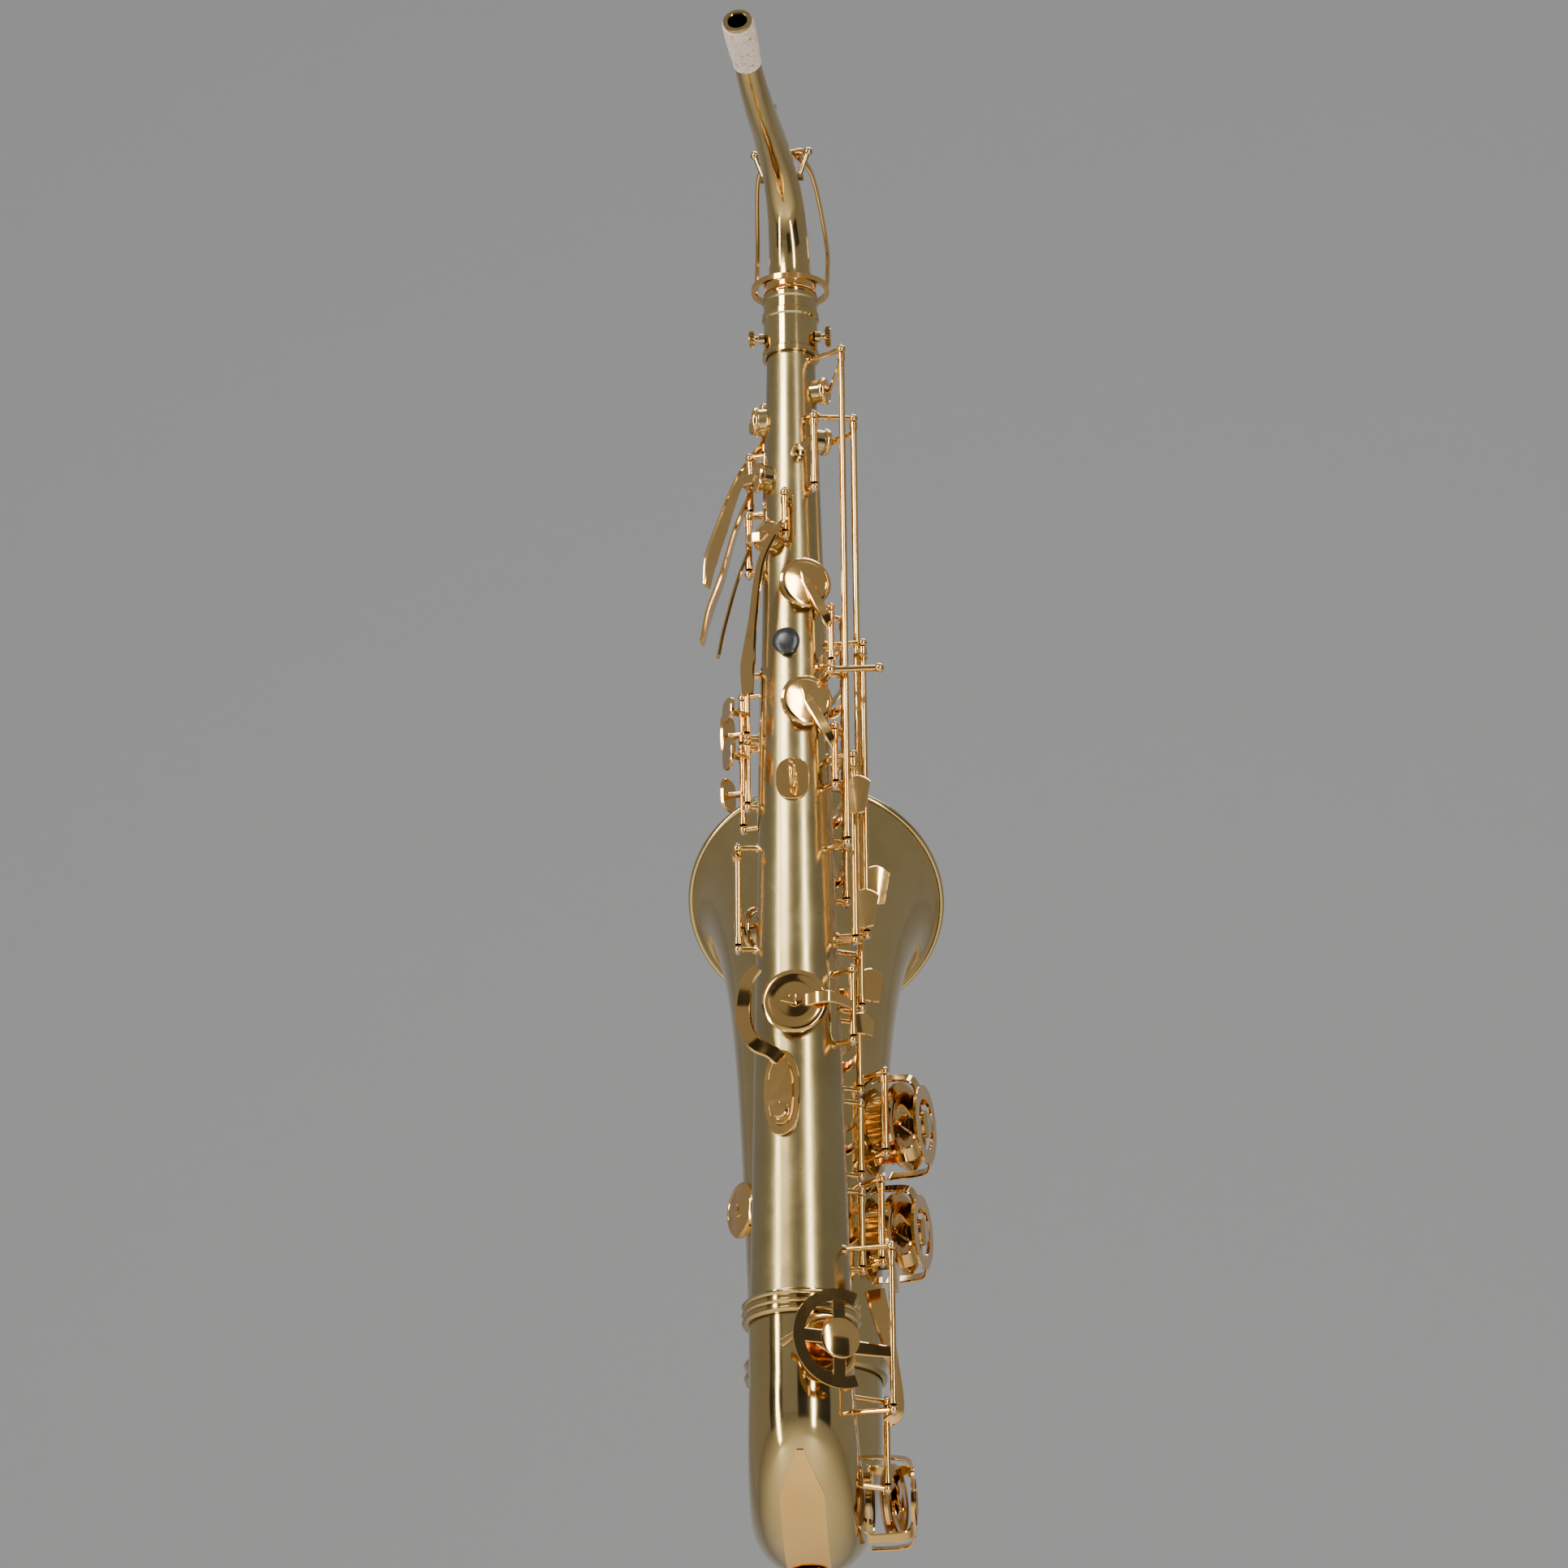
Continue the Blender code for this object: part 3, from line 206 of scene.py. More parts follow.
def bar(points, widths, thick, up):
    """A flat strip along points; width lies across up, thickness along up."""
    fr = frames(points, up=up)
    rings = []
    for p, (t, u, v), w in zip(points, fr, widths):
        p = np.asarray(p, float)
        if FINE:
            e = min(0.35 * thick, 0.3 * w)
            cs = ((w / 2, thick / 2 - e), (w / 2 - e, thick / 2), (-w / 2 + e, thick / 2), (-w / 2, thick / 2 - e),
                  (-w / 2, -thick / 2 + e), (-w / 2 + e, -thick / 2), (w / 2 - e, -thick / 2), (w / 2, -thick / 2 + e))
        else:
            cs = ((w / 2, thick / 2), (-w / 2, thick / 2), (-w / 2, -thick / 2), (w / 2, -thick / 2))
        rings.append(np.array([p + u * a + v * b for a, b in cs]))
    return skin(rings)


def smooth_path(points, k):
    """Catmull-Rom through the points, k pieces in each span."""
    p = [np.asarray(q, float) for q in points]
    p = [2 * p[0] - p[1]] + p + [2 * p[-1] - p[-2]]
    out = []
    for i in range(1, len(p) - 2):
        for j in range(k):
            t = j / k
            a, b, c, d = p[i - 1], p[i], p[i + 1], p[i + 2]
            out.append(0.5 * (2 * b + (c - a) * t + (2 * a - 5 * b + 4 * c - d) * t * t + (3 * b - a - 3 * c + d) * t ** 3))
    out.append(p[-2])
    return out


def slab(outline, c, ux, uy, thick):
    """A plate of the given 2D outline, centred in thickness on c."""
    c, ux, uy = np.asarray(c, float), unit(ux), unit(uy)
    nz = np.cross(ux, uy)
    pts = np.array([c + ux * a + uy * b for a, b in outline])
    if FINE:
        mid = pts.mean(axis=0)
        e = min(0.3 * thick, 0.4)
        inner = pts + (mid - pts) / np.linalg.norm(mid - pts, axis=1)[:, None] * e
        return skin([inner - nz * thick / 2, pts - nz * (thick / 2 - e), pts + nz * (thick / 2 - e), inner + nz * thick / 2])
    return skin([pts - nz * thick / 2, pts + nz * thick / 2])


def oval(a, b, n):
    return [(a * math.cos(2 * math.pi * i / n), b * math.sin(2 * math.pi * i / n)) for i in range(n)]


def squircle(a, b, n, p=3.0):
    out = []
    for i in range(n):
        t = 2 * math.pi * (i + 0.5) / n
        c, s = math.cos(t), math.sin(t)
        out.append((a * math.copysign(abs(c) ** (2 / p), c), b * math.copysign(abs(s) ** (2 / p), s)))
    return out


def turn(mesh, pos, axis, angle):
    """Rotates a mesh about a line, by the right-hand rule, angle in degrees."""
    v, f = mesh
    k = unit(axis)
    a = math.radians(angle)
    d = v - pos
    w = d * math.cos(a) + np.cross(k, d) * math.sin(a) + np.outer(d @ k, k) * (1 - math.cos(a))
    return w + pos, f


# ---------------------------------------------------------------- tubes
def bow_line(n):
    pts, rad, tan = [], [], []
    spans = [(-BOW_R, z) for z in (Z_JOIN - GAP,)]
    steps = [(vec(0, -BOW_R, Z_JOIN - GAP), vec(0, 0, -1), 0.0)]
    for i in range(n + 1):
        a = math.pi * i / n
        steps.append((vec(0, -BOW_R * math.cos(a), BOW_Z - BOW_R * math.sin(a)), vec(0, math.sin(a), -math.cos(a)), None))
    steps.append((vec(0, BOW_R, Z_JOIN - GAP), vec(0, 0, 1), 1.0))
    m = len(steps)
    for i, (p, t, _) in enumerate(steps):
        pts.append(p)
        tan.append(t)
        rad.append(R_BOW_BODY + (R_BOW_BELL - R_BOW_BODY) * min(max((i - 1) / (m - 3), 0), 1))
    return pts, rad, tan


def bow_mesh():
    pts, rad, tan = bow_line(sides(9, 48))
    return pipe(pts, rad, [r - WALL for r in rad], sides(18, 96), tan)


def interp_stations(k):
    st = BELL_STATIONS
    arr = [vec(*s) for s in st]
    return smooth_path(arr, k)


def bell_mesh():
    st = interp_stations(sides(1, 6))
    pts = [vec(0, s[1], s[0]) for s in st]
    tan = [vec(0, math.sin(math.radians(s[2])), math.cos(math.radians(s[2]))) for s in st]
    rad = [s[3] for s in st]
    return pipe(pts, rad, [r - WALL for r in rad], sides(24, 128), tan)


def rim_frame():
    s = BELL_STATIONS[-1]
    t = math.radians(s[2])
    axis = vec(0, math.sin(t), math.cos(t))
    return vec(0, s[1], s[0]), axis


def rim_mesh():
    c, axis = rim_frame()
    k = sides(5, 14)
    prof = []
    for i in range(k):
        a = 2 * math.pi * i / k
        prof.append((RIM_R - 0.6 + 2.1 * math.cos(a), 2.1 + GAP + 2.1 * math.sin(a)))
    return ring_turned(prof, c, axis, sides(24, 128))


def body_shell():
    zs = [Z_JOIN, Z_TOP] if not FINE else [Z_JOIN + (Z_TOP - Z_JOIN) * i / 24 for i in range(25)]
    pts = [vec(0, BODY_Y, z) for z in zs]
    return pts, [body_r(z) for z in zs]


def neck_line(n=5):
    raw = ((0, 791), (0.6, 810), (5.5, 830), (19, 849), (44, 860), (78, 864), (112, 865), (146, 869), (180, 877.5), (196, 882))
    s, c = math.sin(NECK_SWING), math.cos(NECK_SWING)
    p = smooth_path([vec(-d * s, BODY_Y - d * c, z) for d, z in raw], n)
    return p


def neck_radii(pts, r0, r1):
    m = len(pts) - 1
    return [r0 + (r1 - r0) * (i / m) ** 0.9 for i in range(m + 1)]


# ---------------------------------------------------------------- key parts
def cup(c, n, r, h=3.6):
    """Round key cup with a domed back, its open side on c, its back along n."""
    prof = [(r * 0.97, 0.0), (r, 0.5), (r, h * 0.62), (r * 0.93, h * 0.85)]
    if not FINE:
        prof = [(r * 0.98, 0.0), (r, h * 0.6)]
    if FINE:
        prof += [(r * 0.9, h * 0.92), (r * 0.80, h * 0.96), (r * 0.78, h * 0.9), (r * 0.5, h * 1.02), (r * 0.22, h * 1.08), (r * 0.2, h * 1.3), (r * 0.06, h * 1.36)]
    else:
        prof += [(r * 0.55, h * 1.0)]
    return turned(prof, c, n, sides(12, 56))


def chimney_hole(c, n, r, deep=12):
    n = unit(n)
    return cyl(c - n * deep, c + n * (CHIMNEY + 6), r, sides(8, 40))


def chimney(c, n, r, deep=5):
    n = unit(n)
    return cyl(c - n * deep, c + n * CHIMNEY, r, sides(8, 48))
# ---------------------------------------------------------------- keywork
class Key:
    """Pieces of one key, drawn closed, with its hinge line and how far it stands open at rest."""

    def __init__(self, name, low, high, open_deg=0.0, travel=8.0, side=1):
        self.name = name
        self.low, self.high = np.asarray(low, float), np.asarray(high, float)
        self.axis = unit(self.high - self.low)
        self.open_deg, self.travel, self.side = open_deg, travel, side
        self.pieces = []
        self.pads = []
        self.pad = None
        self.extras = []
        self.feet = []
        d = self.axis
        self.pieces.append(cyl(self.low + d * 3.1, self.high - d * 3.1, 2.0, sides(6, 24)))
        if FINE:
            for e, s in ((self.low + d * 3.1, 1), (self.high - d * 3.1, -1)):
                self.pieces.append(cyl(e, e + d * s * 4.0, 2.5, 24))

    def add(self, *meshes):
        self.pieces.extend(meshes)
        return self

    def cup(self, c, n, r, back=None, arm=5.0, via=None, h=3.6, pad=False):
        """A cup over the tone hole at c, with an arm from the hinge rod at the point back."""
        n = unit(n)
        c = np.asarray(c, float)
        if pad:
            self.pad = turned([(r * 0.88, 0.0), (r * 0.93, 0.4), (r * 0.93, 1.8), (r * 0.88, 2.2)], c + n * (CHIMNEY + GAP), n, sides(14, 64))
            c = c + n * 2.5
        self.pieces.append(cup(c + n * (CHIMNEY + GAP), n, r, h))
        self.pads.append((c + n * (CHIMNEY + GAP), n, r))
        if FINE:
            base = c + n * (CHIMNEY + GAP)
            self.extras.append((turned([(r * 0.90, -0.22), (r * 0.92, 0.1), (r * 0.92, 0.6)], base, n, 56), "leather"))
            self.extras.append((turned([(r * 0.34, -0.34), (r * 0.36, -0.1), (r * 0.36, 0.3)], base, n, 32), "keys"))
        top = c + n * (CHIMNEY + GAP + h + 0.4)
        start = np.asarray(back, float)
        d = unit(top - start)
        far = top + d * r * 0.45
        far = far - n * np.dot(far - top, n)
        pts = [start] + [np.asarray(p, float) for p in (via or [])] + [top - d * r * 0.3 + n * 0.6, top, far]
        pts = smooth_path(pts, sides(1, 6))
        m = len(pts) - 1
        ws = [arm + (arm * 0.35) * math.sin(math.pi * i / m) if i < m * 0.75 else arm * (1.15 - 0.9 * (i / m - 0.75) / 0.25) for i in range(m + 1)]
        self.pieces.append(bar(pts, ws, 2.0, n))
        return self

    def touch(self, pts, widths, thick, up):
        if up is None:
            up = unit(np.cross(np.asarray(pts[-1]) - np.asarray(pts[0]), vec(0, 0, 1)))
        self.pieces.append(bar(smooth_path(pts, sides(1, 8)), spread(widths, len(pts), sides(1, 8)), thick, up))
        return self

    def posed(self, mesh):
        return turn(mesh, self.low, self.axis, self.side * self.open_deg) if self.open_deg else mesh


def spread(widths, n, k):
    """Widths at the smooth path's points, from one width at each control point."""
    out = []
    for i in range(n - 1):
        for j in range(k):
            out.append(widths[i] + (widths[i + 1] - widths[i]) * j / k)
    return out + [widths[-1]]


def post(at, foot, r=1.6):
    if not FINE:
        return [cyl(foot, at + unit(at - foot) * 2.2, r, 5, 2.5)]
    return [cyl(foot, at, r, 20), ball(at, 2.8, 8)] + ([cyl(foot, foot + unit(at - foot) * 2.2, 3.2, 24, 2.6)] if FINE else [])


def body_posts(key):
    """Both posts of a key whose rod runs beside the body tube."""
    out = []
    for p in (key.low, key.high):
        axis_pt = vec(0, BODY_Y, p[2])
        d = unit(p - axis_pt)
        out += post(p, axis_pt + d * (body_r(p[2]) - 0.9))
    return out


def side_of(key, c, n):
    """+1 when turning by the right-hand rule lifts the cup off its hole."""
    v = np.cross(key.axis, np.asarray(c, float) - key.low)
    return 1 if np.dot(v, n) > 0 else -1


TONE = []      # tone holes in the body tube: (point, normal, hole radius)
BELL_TONE = []
BOW_TONE = []
KEYS = {}
POSTS = {"body_tube": [], "bell": [], "bow": []}


def on_body(name, z, phi, r, rod_phi, rod_r, z0, z1, open_deg=0.0, travel=8.0, zarm=None, arm=5.0, via=None):
    low, high = around(z0, rod_phi, rod_r), around(z1, rod_phi, rod_r)
    k = Key(name, low, high, open_deg, travel)
    c, n = around(z, phi, body_r(z)), outward(phi)
    k.side = side_of(k, c, n)
    zarm = z if zarm is None else zarm
    if via is None and abs((rod_phi - phi + 180) % 360 - 180) > 25:
        via = [around((z + zarm) / 2, (phi + rod_phi) / 2, max(rod_r, body_r(z) + 8.3) + 3.0)]
    k.cup(c, n, r, around(zarm, rod_phi, rod_r), arm, via)
    TONE.append((c, n, r * 0.74))
    POSTS["body_tube"] += body_posts(k)
    KEYS[name] = k
    return k


def pearl_touch(k, z, phi, r, rod_phi, rod_r, size=7.0):
    """A finger touch: a dished disc at radius r, on an arm from the rod."""
    n = outward(phi)
    c = around(z, phi, r)
    if FINE:
        k.extras.append((turned([(size * 0.86, 1.2), (size * 0.86, 1.9), (size * 0.7, 2.15), (size * 0.35, 1.95), (size * 0.1, 1.9)], c, n, 40), "pearl"))
    k.pieces.append(turned([(size * 0.8, -1.6), (size, -0.6), (size, 1.4), (size * 0.8, 1.6)], c, n, sides(10, 40)))
    k.pieces.append(bar(smooth_path([around(z, rod_phi, rod_r), around(z, (rod_phi + phi) / 2, max(rod_r, r) + 1.5), c], sides(1, 8)),
                        spread([4.5, 4.5, 4.5], 3, sides(1, 8)), 1.8, n))


# upper and lower stacks, on the side away from the player
for nm, z, r, z0, z1 in (("aux_c_key", 566, 10, 549, 583), ("b_key", 528, 12.5, 510, 546), ("bis_key", 492, 11, 476, 507),
                         ("a_key", 456, 14, 438, 473), ("g_key", 418, 15, 400, 435)):
    k = on_body(nm, z, 172, r, 118, 32.5, z0, z1, open_deg=7.0, travel=7.0)
    if nm in ("b_key", "a_key", "g_key", "bis_key"):
        pearl_touch(k, z1 - 8, 205, 40, 118, 32.5, 7.0 if nm != "bis_key" else 4.5)
for nm, z, r, z0, z1 in (("aux_fsharp_key", 350, 16, 331, 368), ("f_key", 304, 18, 283, 325), ("e_key", 252, 19.5, 230, 275), ("d_key", 196, 20.5, 172, 220)):
    k = on_body(nm, z, 172, r, 118, 39.5, z0, z1, open_deg=7.0, travel=7.0)
    if nm != "aux_fsharp_key":
        pearl_touch(k, z1 - 8.5, 205, 47, 118, 39.5, 7.5)

# side C and side B flat cups on the back right, with their long levers
k = on_body("side_c_key", 592, 21, 16, 52, 30, 541, 577, travel=9, zarm=563, via=[around(571, 40, 31)])
k = on_body("side_bflat_key", 515, 20, 16, 52, 32, 462, 500, travel=9, zarm=486, via=[around(494, 40, 33)])
for nm, ph, rr, z0, z1, zt in (("side_c_lever", 84, 42, 372, 559, 402), ("side_bflat_lever", 70, 38, 366, 484, 384)):
    k = Key(nm, around(z0, ph, rr), around(z1, ph, rr), 0, 8, -1)
    zc = z1 - 10
    k.touch([around(zc, ph, rr), around(zc, ph - 5, rr + 0.3), around(zc, ph - 10, rr - 1.5)], [6, 5, 4], 2.0, vec(0, 0, 1))
    k.touch([around(zt, ph, rr), around(zt + 1, ph + 1.5, rr + 6), around(zt, ph + 4, rr + 12)], [22, 26, 20], 2.2, None)
    POSTS["body_tube"] += body_posts(k)
    KEYS[nm] = k
# high E and high F sharp, with long rods to the right hand
k = on_body("side_e_key", 726, 78, 8.5, 54, 40, 424, 745, travel=9, zarm=738, arm=4.0)
k.touch([around(452, 54, 40), around(453, 57, 46), around(452, 61, 51)], [20, 26, 20], 2.2, None)
k = on_body("high_fsharp_key", 698, 116, 8.5, 100, 38, 330, 712, travel=9, zarm=702, arm=4.0)
k.touch([around(344, 100, 38), around(345, 102, 44), around(344, 105, 50)], [18, 22, 18], 2.2, None)
# F sharp trill on the back of the body
k = on_body("fsharp_trill_key", 323, 1, 19.5, 58, 40, 301, 345, travel=8, arm=6)
k.touch([around(311, 58, 40), around(312, 66, 44), around(311, 76, 46)], [12, 14, 10], 2.0, None)
# palm keys on the left
k = on_body("palm_d_key", 625, -38, 10, -78, 27, 606, 644, travel=9)
k.touch([around(622, -78, 27), around(606, -84, 33), around(590, -88, 38), around(572, -92, 43), around(556, -92, 46)], [7, 9, 12, 13, 8], 2.2, outward(-80))
k = on_body("palm_eflat_key", 668, -64, 9.5, -104, 27, 650, 688, travel=9)
k.touch([around(664, -104, 27), around(640, -100, 36), around(610, -98, 44), around(586, -96, 52), around(566, -94, 56)], [6, 9, 13, 14, 8], 2.2, outward(-92))
k = on_body("palm_f_key", 710, -96, 9, -136, 26, 694, 727, travel=9)
k.touch([around(704, -136, 26), around(680, -122, 40), around(650, -116, 50), around(628, -112, 56), around(610, -110, 58)], [6, 9, 13, 14, 8], 2.2, outward(-112))
# G sharp cup on the left front
k = on_body("gsharp_key", 384, 236, 15, 276, 35, 366, 430, travel=8)
k.touch([around(422, 276, 35), around(424, 282, 36.5), around(424, 289, 38)], [6, 5, 4], 2.0, vec(0, 0, 1))

# left little finger table: four touches on two hinge rods
for nm, za, zb, ph, rr, zt, h, out in (("gsharp_touch", 500, 540, -78, 29, 514, 11, 3), ("csharp_touch", 455, 497, -78, 29, 486, 16, 3),
                                       ("low_b_touch", 500, 532, -108, 34, 508, 22, 3), ("low_bflat_touch", 447, 497, -108, 34, 470, 16, 3)):
    k = Key(nm, around(za, ph, rr), around(zb, ph, rr), 0, 7, -1)
    n = outward(ph - 4)
    c = around(zt, ph + 2, rr + 9)
    if nm in ("gsharp_touch", "csharp_touch"):
        c = around(zt, -67, 42)
        n = outward(-67)
    tang = unit(np.cross(vec(0, 0, 1), n))
    k.pieces.append(slab(squircle(8.5, h * 0.62, sides(10, 40)), c, tang, vec(0, 0, 1), 2.4))
    zs = min(max(zt, za + 8), zb - 8)
    k.touch([around(zs, ph, rr), (around(zs, ph, rr) + c) / 2 + n * 1.0, c - n * 0.4], [6, 6, 6], 2.2, np.cross(n, vec(0, 0, 1)) * 0 + vec(0, 0, 1))
    POSTS["body_tube"] += body_posts(k)
    KEYS[nm] = k

# octave mechanism
k = Key("octave_thumb_lever", around(622, -6, 27), around(650, -6, 27), 0, 8, 1)
KEYS["octave_thumb_lever"] = k
k.side = 1
k.touch([around(632, -6, 27), around(622, -14, 34), around(602, -30, 35), around(568, -44, 33), around(542, -53, 33), around(522, -54, 33)], [6, 6, 6, 7, 12, 9], 2.2, outward(-38))
POSTS["body_tube"] += body_posts(k)
k = on_body("body_octave_key", 680, 16, 4.2, 38, 24, 656, 704, travel=6, arm=3.6, zarm=690)
# neck octave key: hinge across the back of the neck, ring loop round the receiver
NECK_HINGE = vec(0, BODY_Y - 8, 0)


def neck_dir():
    return vec(-math.sin(NECK_SWING), -math.cos(NECK_SWING), 0), vec(math.cos(NECK_SWING), -math.sin(NECK_SWING), 0)


def neck_pt(d, z, x=0.0):
    f, s = neck_dir()
    return vec(0, BODY_Y, 0) + f * d + s * x + vec(0, 0, z)


k = Key("neck_octave_key", neck_pt(30, 876, -16.6), neck_pt(30, 876, 16.6), 0, 2.4, 1)
k.touch([neck_pt(30, 876), neck_pt(54, 882.5), neck_pt(80, 883)], [9, 7, 5], 1.8, vec(0, 0, 1))
k.pieces.append(turned([(4.6, 0), (5.0, 0.4), (5.0, 2.6), (3.0, 3.4)], neck_pt(80, 883.1 - 2.4), vec(0, 0, 1), sides(10, 32)))
k.pads.append((neck_pt(80, 880.7), vec(0, 0, 1), 5.0))
for s in (-1, 1):
    k.touch([neck_pt(30, 876, s * 8), neck_pt(15, 866, s * 17), neck_pt(-10, 832, s * 21.5), neck_pt(-9, 808, s * 22.0), neck_pt(-4, 797, s * 22.0)],
            [5, 5, 5, 5, 5], 2.4, neck_dir()[1])
k.pieces.append(ring_turned([(21.6, -1.7), (24.0, -1.7), (24.0, 1.7), (21.6, 1.7)], vec(0, BODY_Y, 796.5), (0, 0, 1), sides(20, 96)))
KEYS["neck_octave_key"] = k


def on_bell(name, z, phi, r, rod, z0, z1, store, open_deg, sidexyz=None):
    """A key over a hole in the bell's right flank; phi as around the bell axis."""
    low, high = rod + vec(0, 0, z0), rod + vec(0, 0, z1)
    k = Key(name, low, high, open_deg, open_deg)
    n = outward(phi)
    rb = bell_r(z)
    c = vec(0, bell_y(z), z) + n * rb
    k.side = side_of(k, c, n)
    k.cup(c, n, r, rod + vec(0, 0, z), 8.0, h=5.0, pad=r > 20)
    k.cup_at = c
    BELL_TONE.append((c, n, r * 0.78))
    for p in (low, high):
        d = unit(p - vec(0, bell_y(p[2]), p[2]))
        POSTS["bell"] += post(p, vec(0, bell_y(p[2]), p[2]) + d * (bell_r(p[2]) * 0.9937 - 0.7))
    KEYS[name] = k
    return k


on_bell("low_bflat_key", 290, 78, 27.0, vec(46, 22, 0), 264, 316, "bell", 9.5)
on_bell("low_b_key", 222, 78, 25.0, vec(43, 21, 0), 196, 248, "bell", 9.5)
k = on_bell("low_csharp_key", 236, -60, 17.0, vec(-21, 13, 0), 216, 258, "bell", 0.0)
k.travel = 8.0

# low C cup on the right flank of the bow, low E flat just under the ferrule
k = Key("low_c_key", vec(47, -28, 44), vec(47, -28, 96), 12.0, 12.0)
n = vec(1, 0, 0)
c = vec(34.6, 3, 44)
k.side = side_of(k, c, n)
k.cup(c, n, 23.0, vec(47, -28, 56), 7.0, via=[vec(49, -14, 52)], h=4.6, pad=True)
k.touch([vec(47, -28, 84), vec(55, -30, 90), vec(54, -37, 116), vec(50, -45, 140), vec(47, -50, 158)], [7, 7, 8, 13, 15], 2.4, unit((0.8, -0.6, 0)))
POSTS["bow"] += post(k.low, vec(27.0, -33, 46)) + post(k.high, vec(24.5, -44, 96))
BOW_TONE.append((c - n * 2.0, n, 17.5))
KEYS["low_c_key"] = k
k = Key("low_eflat_key", vec(54, -76, 78), vec(54, -76, 176), 0, 9)
n = outward(28)
c = vec(0, BODY_Y, 112) + n * 30.6
k.side = side_of(k, c, n)
k.cup(c, n, 19.0, vec(54, -76, 112), 7.0, h=4.6)
k.touch([vec(54, -76, 158), vec(55.5, -70, 160), vec(56, -60, 161), vec(56, -50, 161)], [14, 17, 17, 12], 2.4, unit((1, -0.2, 0)))
POSTS["bow"] += post(k.low, vec(28.6, -65, 80))
POSTS["body_tube"] += post(k.high, around(176, 66, body_r(176) - 0.9))
BOW_TONE.append((c, n, 14.0))
KEYS["low_eflat_key"] = k

COUPLED = {"body_octave_key": ("octave_thumb_lever", 0.7), "neck_octave_key": ("octave_thumb_lever", 0.3),
           "aux_c_key": ("b_key", 1.0), "aux_fsharp_key": ("f_key", 1.0), "gsharp_key": ("gsharp_touch", 1.0),
           "low_csharp_key": ("csharp_touch", 1.0), "low_b_key": ("low_b_touch", 1.25), "low_bflat_key": ("low_bflat_touch", 1.25),
           "side_c_key": ("side_c_lever", 1.0), "side_bflat_key": ("side_bflat_lever", 1.0)}


# ---------------------------------------------------------------- guards
def guard(c, n, r, high, legs, surface, plate_w):
    """Sheet guard over an open cup: a pierced plate with a boss, on legs that stand on the tube."""
    n = unit(n)
    t = unit(np.cross(vec(0, 0, 1), n))
    b = np.cross(n, t)
    top = c + n * high
    plate = [(r * 0.56, -0.9), (r * 0.84, -0.9), (r * 0.84, 0.9), (r * 0.56, 0.9)]
    pieces = [ring_turned(plate, top, n, sides(16, 64)), turned([(7.5, -1.5), (8.5, -0.7), (8.5, 1.4), (7.0, 2.2)], top, n, sides(12, 48))]
    for a in (20, 200):
        d = t * math.cos(math.radians(a)) + b * math.sin(math.radians(a))
        pieces.append(bar([top + d * 5, top + d * r * 0.7], [plate_w, plate_w], 1.4, n))
    for a in legs:
        d = t * math.cos(math.radians(a)) + b * math.sin(math.radians(a))
        foot = surface(c + d * (r + 2.5), n)
        pts = smooth_path([foot, foot + n * 4 + d * 0.5, c + d * (r + 1.5) + n * (high - 4.5), top + d * r * 0.74 + n * 0.05], sides(1, 8))
        pieces.append(bar(pts, spread([plate_w * 1.1, plate_w * 0.8, plate_w * 0.9, plate_w * 1.1], 4, sides(1, 8)), 1.5, n + d * 0.8))
    return pieces


def on_bell_surface(p, n):
    """The point above p, along n, just clear of the bell's flank."""
    h = vec(n[0], n[1], 0)
    side = vec(-h[1], h[0], 0)
    off = np.dot(p - vec(0, bell_y(p[2]), 0), side)
    r = bell_r(p[2]) + 1.5
    return vec(0, bell_y(p[2]), p[2]) + side * off + h * (math.sqrt(r * r - max(abs(off) - 3.0, 0) ** 2) + 0.4)


def on_bow_surface(p, n):
    """The point beside p, just clear of the bow's right flank."""
    d = math.hypot(p[1], p[2] - BOW_Z)
    a = math.atan2(BOW_Z - p[2], -p[1])
    r = R_BOW_BODY + (R_BOW_BELL - R_BOW_BODY) * a / math.pi + 1.0
    off = max(abs(d - BOW_R) - 5.0, 0)
    return vec(math.sqrt(r * r - off * off) + 0.9, p[1], p[2])


def neck_tube_meshes():
    line = [vec(0, BODY_Y, 773.0), vec(0, BODY_Y, 790.2)] + neck_line(sides(1, 10))
    radii = [12.7, 12.7] + neck_radii(neck_line(sides(1, 10)), 13.9, 6.9)
    tube = pipe(line, radii, [r - 1.0 for r in radii], sides(14, 64))
    f, s = neck_dir()
    out = [tube]
    for x in (-1, 1):
        out += post(neck_pt(30, 876, x * 16.6), neck_pt(30, 853.5, 0) + unit(s * x * 11.0 + vec(0, 0, 5.0)) * 11.6)
    end = neck_line(2)[-1]
    back = neck_line(2)[-2]
    d = unit(end - back)
    out.append(ring_turned([(6.3, -1.2), (8.6, -1.2), (8.8, -0.4), (8.6, 0.6), (6.3, 0.6)], end + d * 0.2, d, sides(16, 64)))
    return out, end, d


def cork_mesh():
    pts = neck_line(sides(1, 10))
    end = pts[-1]
    d = unit(end - neck_line(2)[-2])
    line = [end - d * 1.9]
    back = list(reversed(pts))
    dist = [np.linalg.norm(p - end) for p in back]
    line += [p for p, q in zip(back, dist) if 6 < q < 40]
    m = len(line)
    outer = [9.6 - 1.4 * (i / (m - 1)) ** 3 for i in range(m)]
    inner = []
    full = neck_radii(pts, 13.9, 6.9)
    for i, p in enumerate(line):
        j = int(np.argmin([np.linalg.norm(p - q) for q in pts]))
        inner.append(full[max(j - 1, 0)] + 0.45)
    return pipe(line, outer, inner, sides(16, 64))


